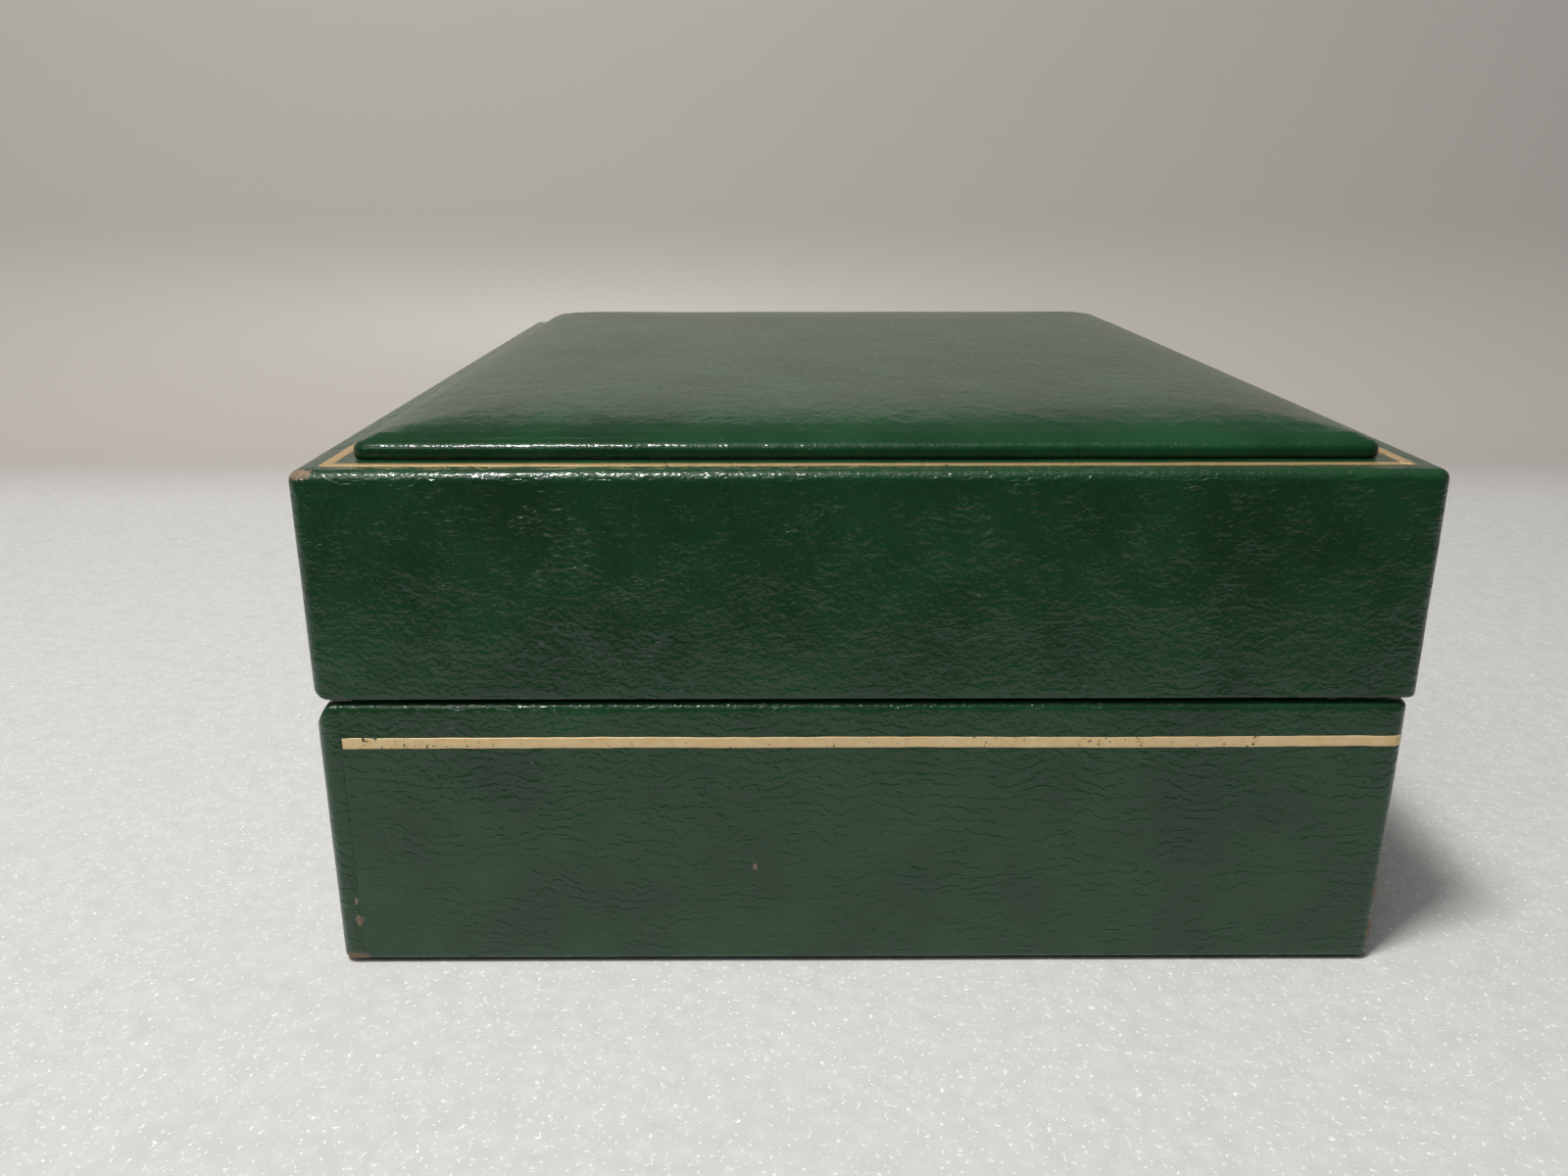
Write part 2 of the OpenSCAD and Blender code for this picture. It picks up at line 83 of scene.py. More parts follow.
# %% Helpers
def lin(h):
    """An sRGB hex colour as linear RGBA."""
    c = [int(h[i : i + 2], 16) / 255 for i in (1, 3, 5)]
    return [v / 12.92 if v <= 0.04045 else ((v + 0.055) / 1.055) ** 2.4 for v in c] + [1]


class Mat:
    """A material with a Principled shader, and short ways to add and join nodes."""

    def __init__(self, name, **sockets):
        self.m = bpy.data.materials.new(name)
        self.m.use_nodes = True
        self.t = self.m.node_tree
        self.b = self.t.nodes["Principled BSDF"]
        self.b.name = "bsdf"
        for k, v in sockets.items():
            self.b.inputs[k.replace("_", " ")].default_value = v

    def N(self, kind, *ins, out=0, **props):
        """Adds a node. ins are values or other nodes' outputs, in the order of its inputs."""
        n = self.t.nodes.new("ShaderNode" + kind)
        for k, v in props.items():
            setattr(n, k, v)
        for i, v in enumerate(ins):
            if v is None:
                continue
            if isinstance(v, bpy.types.NodeSocket):
                self.t.links.new(v, n.inputs[i])
            else:
                n.inputs[i].default_value = v
        return n.outputs[out]

    def math(self, op, a, b=0.0, clamp=False):
        """A Math node."""
        return self.N("Math", a, b, operation=op, use_clamp=clamp)

    def ramp(self, fac, *stops):
        """A colour ramp. stops are (place, colour), colour a hex string or a grey."""
        n = self.t.nodes.new("ShaderNodeValToRGB")
        e = n.color_ramp.elements
        while len(e) < len(stops):
            e.new(0.5)
        for el, (p, c) in zip(e, stops):
            el.position = p
            el.color = lin(c) if isinstance(c, str) else (c, c, c, 1)
        self.t.links.new(fac, n.inputs[0])
        return n.outputs[0]

    def mix(self, fac, a, b):
        """Colour a where fac is 0 and b where it is 1. Both may be hex strings."""
        n = self.t.nodes.new("ShaderNodeMix")
        n.data_type = "RGBA"
        for i, v in ((0, fac), (6, a), (7, b)):
            if isinstance(v, bpy.types.NodeSocket):
                self.t.links.new(v, n.inputs[i])
            else:
                n.inputs[i].default_value = lin(v) if isinstance(v, str) else v
        return n.outputs[2]

    def put(self, socket, out):
        """Joins an output to one of the shader's sockets."""
        self.t.links.new(out, self.b.inputs[socket])

    def bump(self, height, distance, strength=1.0, normal=None):
        """A bump on top of another normal. distance is its height in metres."""
        n = self.t.nodes.new("ShaderNodeBump")
        n.inputs["Strength"].default_value = strength
        n.inputs["Distance"].default_value = distance
        self.t.links.new(height, n.inputs["Height"])
        if normal is not None:
            self.t.links.new(normal, n.inputs["Normal"])
        return n.outputs[0]


def make(name, verts, faces, mat, body=None, uv=None, smooth=True, fix=True):
    """A mesh object from arrays in millimetres, with its faces turned outwards."""
    me = bpy.data.meshes.new(name)
    me.from_pydata([tuple(v * MM for v in p) for p in verts], [], [tuple(f) for f in faces])
    if uv is not None:
        layer = me.uv_layers.new(name="UVMap")
        idx = np.zeros(len(me.loops), int)
        me.loops.foreach_get("vertex_index", idx)
        layer.data.foreach_set("uv", np.asarray(uv, float)[idx].ravel())
    bm = bmesh.new()
    bm.from_mesh(me)
    bmesh.ops.remove_doubles(bm, verts=bm.verts, dist=1e-7)
    bmesh.ops.dissolve_degenerate(bm, edges=bm.edges, dist=1e-7)
    if fix:
        bmesh.ops.recalc_face_normals(bm, faces=bm.faces)
    bm.to_mesh(me)
    bm.free()
    me.polygons.foreach_set("use_smooth", [smooth] * len(me.polygons))
    me.materials.append(mat)
    o = bpy.data.objects.new(name, me)
    scene.collection.objects.link(o)
    if body:
        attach(o, body)
    return o


def wave(p, size, seed):
    """Smooth noise from -1 to 1 at a point in millimetres."""
    return noise.noise(Vector((p[0] / size + seed, p[1] / size - seed, p[2] / size + 3 * seed)))


def wave_at(P, size, seed):
    """`wave` at every point of an array."""
    return np.array([wave(p, size, seed) for p in P])


# %% [markdown]
# The leather is a skin glued to the wood. Its shape is one section carried round the box: the
# ledge or the top edge, a rolled edge, the upright side, the lower edge, and the turned-in strip.
# `Path` walks round the plan of the box. At every stop it knows how to place a point at any
# inset from the outer face, so corners stay round outside and become mitres further in.

# %% Path and sweep
class Path:
    """Stops round a rounded rectangle, or along a part of one."""

    def __init__(self, x1, y0, y1, r, step=1.1, part="all", cut=None):
        c = {
            (1, -1): (x1 - r, y0 + r),
            (-1, -1): (-x1 + r, y0 + r),
            (-1, 1): (-x1 + r, y1 - r),
            (1, 1): (x1 - r, y1 - r),
        }
        self.r, self.stops = r, []
        arc = max(5, int(r * 4))

        def line(p, s, q, t, n):
            m = max(2, int(math.dist(p, q) / step))
            for i in range(m + 1):
                f = i / m
                self.stops.append((p, s, q, t, f, n, None))

        def corner(k):
            a0 = math.atan2(k[1], k[0]) + math.pi / 4
            for i in range(1, arc):
                a = a0 - i / arc * math.pi / 2
                self.stops.append((c[k], k, c[k], k, 0.0, (math.cos(a), math.sin(a)), k))

        a, b, d, e = (1, 1), (1, -1), (-1, -1), (-1, 1)
        if part == "all":
            for k, k2, n in ((a, b, (1, 0)), (b, d, (0, -1)), (d, e, (-1, 0)), (e, a, (0, 1))):
                line(c[k], k, c[k2], k2, n)
                corner(k2)
        elif part == "front":
            line((c[a][0], cut), (1, 0), c[b], b, (1, 0))
            corner(b)
            line(c[b], b, c[d], d, (0, -1))
            corner(d)
            line(c[d], d, (c[e][0], cut), (-1, 0), (-1, 0))
        else:
            line((c[e][0], cut), (-1, 0), c[e], e, (-1, 0))
            corner(e)
            line(c[e], e, c[a], a, (0, 1))
            corner(a)
            line(c[a], a, (c[a][0], cut), (1, 0), (1, 0))
        self.closed = part == "all"
        if self.closed:
            self.stops.append(self.stops[0])

    def at(self, inset):
        """The (x, y) of every stop at that inset, and the outward normals."""
        P, M = [], []
        for p, s, q, t, f, n, k in self.stops:
            past = max(0.0, inset - self.r)
            out = max(0.0, self.r - inset)
            ax, ay = p[0] - s[0] * past, p[1] - s[1] * past
            bx, by = q[0] - t[0] * past, q[1] - t[1] * past
            P.append((ax + (bx - ax) * f + n[0] * out, ay + (by - ay) * f + n[1] * out))
            M.append(n)
        return np.array(P), np.array(M)


def arc_rows(cx, cz, r, a0, a1, n):
    """Rows of (inset, z) round an arc: angle 0 points out of the box, 90 degrees up."""
    a = np.radians(np.linspace(a0, a1, n))
    return [(cx - r * math.cos(t), cz + r * math.sin(t)) for t in a]


def rows_between(p, q, step):
    """Rows of (inset, z) along a straight line, about a step apart."""
    m = max(1, int(math.dist(p, q) / step))
    return [(p[0] + (q[0] - p[0]) * i / m, p[1] + (q[1] - p[1]) * i / m) for i in range(m + 1)]


def sweep(path, outer, inner, shape=None):
    """A closed skin: outer rows, then inner rows back. With no inner rows, the outer rows end in
    lines that close by themselves. shape(points, normals, is_outer, inset, z) moves points."""
    rows = outer + inner
    n = len(path.stops)
    grid, uvs = [], []
    flat, _ = path.at(0)
    seg = np.linalg.norm(np.diff(flat, axis=0), axis=1)
    u = np.concatenate([[0], np.cumsum(seg)])
    v = 0.0
    for j, (i, z) in enumerate(rows):
        if j:
            v += math.dist(rows[j - 1], rows[j])
        P, M = path.at(i)
        Q = np.column_stack([P, np.full(n, z)])
        grid.append(shape(Q, M, j < len(outer), i, z) if shape else Q)
        uvs.append(np.column_stack([u, np.full(n, v)]))
    V = np.concatenate(grid)
    UV = np.concatenate(uvs)
    F = []
    m = len(rows)
    for j in range(m if inner else m - 1):
        a, b = j * n, ((j + 1) % m) * n
        F += [(a + k, a + k + 1, b + k + 1, b + k) for k in range(n - 1)]
    if not path.closed:
        no = len(outer)
        for k in (0, n - 1):
            cap = [j * n + k for j in range(m)]
            # the ends are closed with quads between outer and inner rows
            inn = cap[no:][::-1]
            out = cap[:no]
            steps = np.linspace(0, len(inn) - 1, len(out)).round().astype(int)
            for j in range(len(out) - 1):
                s0, s1 = inn[steps[j]], inn[steps[j + 1]]
                f = [out[j], out[j + 1], s1] + ([s0] if s0 != s1 else [])
                F.append(tuple(f))
    return V, F, UV


# %% [markdown]
# The hinge groove: below the bevel plane the lid's edge is cut away, and above it the base's.
# Near the knuckles the skin is pushed out of the room that they turn in.

# %% Groove
LID_BEVEL, BASE_BEVEL = np.array([1.0, -1.5]), np.array([2.5, 1.5])


def clip_plane(Q, point, normal):
    """Moves points that lie past a plane along X back onto it. normal is (y, z)."""
    n = np.array(normal) / np.linalg.norm(normal)
    d = (Q[:, 1:] - np.array(point)) @ n
    Q = Q.copy()
    Q[:, 1:] -= np.outer(np.maximum(d, 0), n)
    return Q


def clear_barrel(Q, room=BARREL_ROOM):
    """Pushes points out of the room that the knuckles turn in."""
    d = Q[:, 1:] - np.array([AXIS_Y, AXIS_Z])
    dist = np.linalg.norm(d, axis=1)
    near = (np.abs(Q[:, 0]) < BARREL) & (dist < room)
    Q = Q.copy()
    safe = np.maximum(dist, 1e-6)[:, None]
    Q[near, 1:] = (np.array([AXIS_Y, AXIS_Z]) + d / safe * room)[near]
    return Q


def over_leaf(Q):
    """Which points lie above or below a hinge leaf."""
    return (np.abs(Q[:, 0]) < BARREL) & (Q[:, 1] > LEAF_LO) & (Q[:, 1] < LEAF_HI)


def uneven(Q, seed):
    """The slight unevenness of glued leather, along the outward normal, less near the groove."""
    d = UNEVEN * (0.7 * wave_at(Q, 24.0, seed) + 0.3 * wave_at(Q, 5.0, seed + 7))
    calm = np.clip(np.hypot(Q[:, 1] - AXIS_Y, Q[:, 2] - AXIS_Z) / 4.0 - 0.6, 0, 1)
    return d * calm


# %% [markdown]
# Lid leather. One skin with rolled top edges about a millimetre round. It is proud of the base
# at the front, which makes the finger lip.

# %% Lid leather
leather = Mat("green_calf_leather_glazed", Roughness=0.33)
TOP_R, LOW_R = 1.1, 0.4
LEDGE_IN = 12  # how far the skin runs in under the pad
LID_SEED, BASE_SEED = 2.3, 5.1
lid_outer = (
    rows_between((LEDGE_IN, LEDGE_Z), (TOP_R, LEDGE_Z), 0.8)[:-1]
    + arc_rows(TOP_R, LEDGE_Z - TOP_R, TOP_R, 90, 0, 8)
    + rows_between((0, LEDGE_Z - TOP_R), (0, LID_Z + 2.0), 0.9)[1:]
    + rows_between((0, LID_Z + 2.0), (0, LID_Z + LOW_R), 0.25)[1:]
    + arc_rows(LOW_R, LID_Z + LOW_R, LOW_R, 0, -90, 6)[1:]
    + rows_between((LOW_R, LID_Z), (LID_IN, LID_Z), 0.5)[1:]
)
lid_inner = [(LID_IN, LID_Z + SKIN), (SKIN, LID_Z + SKIN), (SKIN, LEDGE_Z - SKIN), (LEDGE_IN, LEDGE_Z - SKIN)]


def lid_shape(Q, M, outer, i, z):
    """Bevels the lid's skin at the groove, and makes its outside slightly uneven."""
    inset = 0 if outer else SKIN
    nx, nz = LID_BEVEL / np.linalg.norm(LID_BEVEL)
    Q = clip_plane(Q, (AXIS_Y - inset * nx, LID_Z - inset * nz), LID_BEVEL)
    if outer:
        d = uneven(Q, LID_SEED)
        side = np.clip((LEDGE_Z - z) / 1.1, 0, 1) * np.clip((z - LID_Z) / 1.0, 0, 1)
        Q[:, :2] += M * (d * side)[:, None]
        if i > 0.9 and z > LEDGE_Z - 1:
            Q[:, 2] += np.minimum(0.5 * d, 0.05)
        # over the hinge leaf the skin is pared back to the wood
        deep = over_leaf(Q)
        Q[deep & (Q[:, 2] < LID_Z + 0.3), 2] = LID_Z + SKIN - 0.03
    return clear_barrel(Q)


V, F, UV = sweep(Path(HX, LID_FRONT, BACK, CORNER_R), lid_outer, lid_inner, lid_shape)
lid_skin = make("lid_leather_skin", V, F, leather.m, "lid", UV)
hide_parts("lid_leather")
print("lid leather", len(F), "faces")

# %% [markdown]
# Base leather in two pieces, with a seam on each end near the hinge side. One goes round the front
# and both ends, and the back piece wraps onto the ends and lies a little over the first one.

# %% Base leathers
B_TOP_R, B_LOW_R = 0.85, 0.7
UNDER_IN = 8  # how far the skin is turned in under the base


def base_rows():
    """The base skin's outer and inner rows, from the top edge's inside to the turned-in strip."""
    outer = (
        rows_between((BASE_IN, BASE_TOP), (B_TOP_R, BASE_TOP), 0.5)[:-1]
        + arc_rows(B_TOP_R, BASE_TOP - B_TOP_R, B_TOP_R, 90, 0, 6)
        + rows_between((0, BASE_TOP - B_TOP_R), (0, BASE_TOP - 3.4), 0.28)[1:]
        + rows_between((0, BASE_TOP - 3.4), (0, BASE_Z + B_LOW_R), 0.9)[1:]
        + arc_rows(B_LOW_R, BASE_Z + B_LOW_R, B_LOW_R, 0, -90, 6)[1:]
        + rows_between((B_LOW_R, BASE_Z), (UNDER_IN, BASE_Z), 2.0)[1:]
    )
    inner = [(UNDER_IN, BASE_Z + SKIN), (SKIN, BASE_Z + SKIN)]
    inner += [(SKIN, BASE_TOP - SKIN), (BASE_IN, BASE_TOP - SKIN)]
    return outer, inner


def base_shape(flap):
    """The same for a base skin. The back one, the flap, stands a little proud at its edge."""

    def shape(Q, M, outer, i, z):
        inset = 0 if outer else SKIN
        nx, nz = BASE_BEVEL / np.linalg.norm(BASE_BEVEL)
        Q = clip_plane(Q, (AXIS_Y - inset * nx, BASE_TOP - inset * nz), BASE_BEVEL)
        if outer:
            d = uneven(Q, BASE_SEED)
            side = np.clip((BASE_TOP - z) / 0.6, 0, 1) * np.clip((z - BASE_Z) / 0.7, 0, 1)
            if flap:
                # proud near the seam, and thinner towards the back
                e = np.clip((Q[:, 1] - SEAM_Y) / 0.5, 0, 1)
                d = d + 0.04 * e * (2 - e) + 0.005
                d = d * np.clip((BACK - Q[:, 1]) / 1.2, 0.35, 1)
            Q[:, :2] += M * (d * side)[:, None]
            deep = over_leaf(Q)
            Q[deep & (Q[:, 2] > BASE_TOP - 0.3), 2] = BASE_TOP - SKIN + 0.03
        return clear_barrel(Q)

    return shape


front_path = Path(HX, BASE_FRONT, BACK, CORNER_R, part="front", cut=SEAM_Y - 0.03)
back_path = Path(HX, BASE_FRONT, BACK, CORNER_R, step=0.9, part="back", cut=SEAM_Y)
outer, inner = base_rows()
V, F, UV = sweep(front_path, outer, inner, base_shape(False))
base_skin = make("base_leather_skin", V, F, leather.m, "base", UV)
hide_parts("base_leather")
V, F, UV = sweep(back_path, outer, inner, base_shape(True))
back_skin = make("base_back_leather_skin", V, F, leather.m, "base", UV)
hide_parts("base_back_leather")
for o in (base_skin, back_skin):
    o.data.set_sharp_from_angle(angle=math.radians(55))
print("base leather made")

# %% [markdown]
# Gold foil is blocked into the leather with a hot tool. It is thin, slightly uneven at its edges,
# and flaked and dirty in places. On the base it runs from seam to seam; on the lid it is a frame
# with mitred corners on the ledge.

# %% Gold foil
# One foil in two copies: the base's line is bright and barely metal, a painted reflection of the bright
# sheet, and the lid's frame is darker, painted shade.
foil = Mat("gold_foil_blocked_worn", Roughness=0.38)
foil_lid = Mat("gold_foil_blocked_dull", Roughness=0.38)
line_lo, line_hi = (np.array(c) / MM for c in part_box("base_gold_line"))


def foil_shape(Q, M, outer, i, z):
    """Lays the base's line on the uneven leather, with slightly wavy edges."""
    d = uneven(Q, BASE_SEED)
    Q = Q.copy()
    Q[:, :2] += M * d[:, None]
    edge = 0.07 * wave_at(Q, 2.2, 9.0 + (z > (line_lo[2] + line_hi[2]) / 2)) + 0.1 * wave_at(Q, 19.0, 4.0)
    Q[:, 2] += edge
    return Q


lift = 0.035  # how proud the foil stands
fo = [(-0.005, line_hi[2])] + rows_between((-lift, line_hi[2] - 0.04), (-lift, line_lo[2] + 0.04), 0.25)
fo += [(-0.005, line_lo[2])]
fi = [(0.1, line_lo[2] + 0.02), (0.1, line_hi[2] - 0.02)]
foil_path = Path(HX, BASE_FRONT, BACK, CORNER_R, step=0.8, part="front", cut=SEAM_Y - 0.2)
V, F, UV = sweep(foil_path, fo, fi, foil_shape)
base_line = make("base_gold_line_foil", V, F, foil.m, "base", UV)
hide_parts("base_gold_line")

frame_lo, frame_hi = (np.array(c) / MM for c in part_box("lid_gold_frame"))
LINE_W = 1.2


def frame_shape(Q, M, outer, i, z):
    """The same for the frame on the lid's ledge."""
    Q = Q.copy()
    d = np.minimum(0.5 * uneven(Q, LID_SEED), 0.05)
    Q[:, 2] += d
    Q[:, :2] += M * (0.06 * wave_at(Q, 3.0, 1.0 + i) + 0.07 * wave_at(Q, 23.0, 8.0))[:, None]
    return Q


top = LEDGE_Z + lift
fo = [(0.0, LEDGE_Z + 0.005)] + rows_between((0.04, top), (LINE_W - 0.04, top), 0.25)
fo += [(LINE_W, LEDGE_Z + 0.005)]
fi = [(LINE_W - 0.02, LEDGE_Z - 0.1), (0.02, LEDGE_Z - 0.1)]
V, F, UV = sweep(Path(frame_hi[0], frame_lo[1], frame_hi[1], 0.05, step=0.8), fo, fi, frame_shape)
lid_line = make("lid_gold_frame_foil", V, F, foil_lid.m, "lid", UV)
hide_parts("lid_gold_frame")
print("gold lines made")

# %% [markdown]
# The padded panel: leather drawn over foam on a board. Its foot is upright for a millimetre,
# then it rolls over and rises quickly before it flattens, as a drawn cover does. The crown is
# that rise, with a share of a cloth simulation of the cover mixed in, in which the cover is held
# at its rim and pushed up by the foam.

# %% Padded panel
pad_lo, pad_hi = (np.array(c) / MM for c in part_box("lid_pad_leather"))
pad_leather = Mat("green_calf_leather_pad", Roughness=0.3)
PW, PD = pad_hi[0], (pad_hi[1] - pad_lo[1]) / 2
PY = (pad_hi[1] + pad_lo[1]) / 2
FOOT, ROLL = 0.9, 0.8
CLOTH_FRAMES = 20
RISE_IN = 6.0  # a pad's cover has risen by two thirds this far in
CLOTH_SHARE = 0.15  # of a pad's crown, the rest is the plain rise
CUSHION_STRETCH = 0.8  # the furthest that the cloth moves a point of the cushion


def inflate(name, half_x, half_y, cell, pressure, cap):
    """The heights of a pad's crown, at most 1: the plain rise and the share of a blown-up sheet."""
    nx, ny = int(2 * half_x / cell) + 1, int(2 * half_y / cell) + 1
    xs, ys = np.linspace(-half_x, half_x, nx), np.linspace(-half_y, half_y, ny)
    X, Y = np.meshgrid(xs, ys, indexing="ij")
    edge = np.minimum(half_x - np.abs(X), half_y - np.abs(Y))
    Z = 1 - np.exp(-edge / RISE_IN)
    verts = np.column_stack([X.ravel(), Y.ravel(), 0.3 * Z.ravel()]) * MM
    faces = [
        (i * ny + j, (i + 1) * ny + j, (i + 1) * ny + j + 1, i * ny + j + 1)
        for i in range(nx - 1)
        for j in range(ny - 1)
    ]
    me = bpy.data.meshes.new(name)
    me.from_pydata([tuple(v) for v in verts], [], faces)
    o = bpy.data.objects.new(name, me)
    scene.collection.objects.link(o)
    g = o.vertex_groups.new(name="rim")
    g.add([int(k) for k in np.flatnonzero(edge.ravel() < 1e-6)], 1.0, "ADD")
    c = o.modifiers.new("cloth", "CLOTH")
    c.settings.vertex_group_mass = "rim"
    c.settings.use_pressure = True
    c.settings.uniform_pressure_force = pressure
    c.settings.effector_weights.gravity = 0
    c.settings.tension_stiffness = c.settings.compression_stiffness = 40
    c.settings.bending_stiffness = 4
    c.settings.quality = 6
    for f in range(1, CLOTH_FRAMES + 1):
        scene.frame_set(f)
    e = o.evaluated_get(bpy.context.evaluated_depsgraph_get())
    out = np.zeros(len(me.vertices) * 3, np.float32)
    e.data.vertices.foreach_get("co", out)
    bpy.data.objects.remove(o)
    scene.frame_set(1)
    h = np.minimum(np.abs(out.reshape(-1, 3)[:, 2]) / MM, cap)
    if np.isfinite(h).all() and h.max() > 0.2:
        Z = (1 - CLOTH_SHARE) * Z + CLOTH_SHARE * (h / h.max()).reshape(nx, ny)
    return xs, ys, Z


def sample(xs, ys, Z, P):
    """Bilinear heights at points."""
    fx = np.clip((P[:, 0] - xs[0]) / (xs[-1] - xs[0]) * (len(xs) - 1), 0, len(xs) - 1.001)
    fy = np.clip((P[:, 1] - ys[0]) / (ys[-1] - ys[0]) * (len(ys) - 1), 0, len(ys) - 1.001)
    i, j = fx.astype(int), fy.astype(int)
    a, b = fx - i, fy - j
    near = Z[i, j] * (1 - a) * (1 - b) + Z[i + 1, j] * a * (1 - b)
    return near + Z[i, j + 1] * (1 - a) * b + Z[i + 1, j + 1] * a * b


xs, ys, crown = inflate("pad_cloth", PW, PD, 2.5, 2.0, 6.0)
RISE = 2.15
pad_rows = (
    [(PD * (1 - k / 8), LEDGE_Z + 0.02) for k in range(8)]
    + [(0.35, LEDGE_Z + 0.02), (0.1, LEDGE_Z + 0.12), (0.0, LEDGE_Z + 0.35)]
    + rows_between((0, LEDGE_Z + 0.5), (0, LEDGE_Z + FOOT), 0.2)
    + arc_rows(ROLL, LEDGE_Z + FOOT, ROLL, 8, 80, 8)
)
gaps = 0.22 * 1.09 ** np.arange(60)
top_insets = ROLL + np.cumsum(gaps) / np.sum(gaps) * (PD - ROLL)
pad_rows += [(i, LEDGE_Z + FOOT + ROLL) for i in top_insets]


def pad_shape(Q, M, outer, i, z):
    """Raises the cover to its crown, and bends its foot a little in and out."""
    Q = Q.copy()
    P = Q[:, :2] - np.array([0, PY])
    up = np.clip((i - 0.2) / 1.2, 0, 1) if z > LEDGE_Z + FOOT else 0
    low = 1.0 if z > LEDGE_Z + 0.1 else 0.0
    Q[:, 2] += RISE * up * sample(xs, ys, crown, P)
    Q[:, 2] += up * (0.10 * wave_at(Q, 21.0, 3.0) + 0.02 * wave_at(Q, 6.0, 6.0)) * min(1, i / 4)
    bend = (0.10 * wave_at(Q, 9.0, 11.0) + 0.04 * wave_at(Q, 2.5, 12.0)) * max(0, 1 - i / 3) * low
    Q[:, :2] += M * bend[:, None]
    return Q


pad_path = Path(PW, PY - PD, PY + PD, 2.0, step=1.0)
V, F, UV = sweep(pad_path, pad_rows, [], pad_shape)
pad_obj = make("lid_pad_cover", V, F, pad_leather.m, "lid", UV)
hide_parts("lid_pad_leather", "lid_pad_foam")
print("pad made,", len(F), "faces, crown", round(float(V[:, 2].max() - LEDGE_Z), 2))

# %% [markdown]
# The velour lining is card covered with a short pile. Each strip keeps its CAD size, and gets the
# soft edges that a wrapped card has.

# %% Lining and insert
velour = Mat("champagne_velour_short_pile", Roughness=0.95)
velour.b.inputs["Sheen Weight"].default_value = 0.6
velour.b.inputs["Sheen Roughness"].default_value = 0.4


def soften(node, width, mat, body):
    """A copy of a CAD node with rounded edges, in place of it."""
    me = nodes[node].data.copy()
    me.name = node + "_wrapped"
    bm = bmesh.new()
    bm.from_mesh(me)
    bmesh.ops.remove_doubles(bm, verts=bm.verts, dist=1e-6)
    bmesh.ops.dissolve_limit(bm, angle_limit=0.05, verts=bm.verts, edges=bm.edges)
    sharp = [e for e in bm.edges if len(e.link_faces) == 2 and e.calc_face_angle() > 0.5]
    bmesh.ops.bevel(
        bm, geom=sharp, offset=width * MM, segments=3, profile=0.6, affect="EDGES", clamp_overlap=True
    )
    bmesh.ops.triangulate(bm, faces=[f for f in bm.faces if len(f.verts) > 4])
    bmesh.ops.recalc_face_normals(bm, faces=bm.faces)
    bm.to_mesh(me)
    bm.free()
    me.materials.clear()
    me.materials.append(mat)
    me.polygons.foreach_set("use_smooth", [True] * len(me.polygons))
    o = bpy.data.objects.new(me.name, me)
    scene.collection.objects.link(o)
    o.matrix_world = nodes[node].matrix_world
    bpy.context.view_layer.update()
    o.data.transform(o.matrix_world)
    o.matrix_world = Matrix()
    # flat faces keep their own normals, so that a wrapped board looks flat
    for e in o.data.edges:
        e.use_edge_sharp = False
    m = o.modifiers.new("weighted", "WEIGHTED_NORMAL")
    m.keep_sharp = False
    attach(o, body)
    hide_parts(node)
    return o


for side in ("front", "back", "left", "right"):
    soften(f"base_{side}_lining", 0.5, velour.m, "base")
    soften(f"lid_{side}_lining", 0.4, velour.m, "lid")
soften("base_floor_lining", 0.3, velour.m, "base")
soften("insert_deck_velour", 0.35, velour.m, "base")
soften("insert_well_liner", 0.3, velour.m, "base")
print("lining wrapped")

# %% [markdown]
# The ceiling pad and the watch cushion are foam in velour. The cushion is blown up as cloth from
# a slightly smaller block, as its cover is when the foam is pushed in, with a seam round its waist.

# %% Ceiling pad
ceil_lo, ceil_hi = (np.array(c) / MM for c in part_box("lid_ceiling_pad"))
CW, CD = ceil_hi[0], (ceil_hi[1] - ceil_lo[1]) / 2
CY = (ceil_hi[1] + ceil_lo[1]) / 2
cx, cy, puff = inflate("ceiling_cloth", CW, CD, 4.0, 2.0, 6.0)
ceil_rows = [(CD * (1 - k / 8), ceil_hi[2] - 0.02) for k in range(8)] + [(0.1, ceil_hi[2] - 0.02)]
ceil_rows += arc_rows(0.9, ceil_hi[2] - 0.9, 0.9, 0, -80, 7)
gaps = 0.3 * 1.1 ** np.arange(36)
ceil_rows += [(i, ceil_hi[2] - 1.8) for i in 0.9 + np.cumsum(gaps) / np.sum(gaps) * (CD - 0.9)]


def ceil_shape(Q, M, outer, i, z):
    """Lowers the ceiling pad's cover to its crown, which faces down."""
    Q = Q.copy()
    if z < ceil_hi[2] - 0.5:
        up = min(1, max(0, (i - 0.2) / 1.5))
        Q[:, 2] -= 1.35 * up * sample(cx, cy, puff, Q[:, :2] - np.array([0, CY]))
        Q[:, 2] += 0.05 * up * wave_at(Q, 14.0, 5.0)
    return Q


V, F, UV = sweep(Path(CW, CY - CD, CY + CD, 1.5, step=1.6), ceil_rows, [], ceil_shape)
ceiling = make("lid_ceiling_pad_cover", V, F, velour.m, "lid", UV)
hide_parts("lid_ceiling_pad")
print("ceiling pad made")

# %% Watch cushion
cu_lo, cu_hi = (np.array(c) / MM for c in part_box("cushion_cover"))
size, mid = cu_hi - cu_lo, (cu_hi + cu_lo) / 2


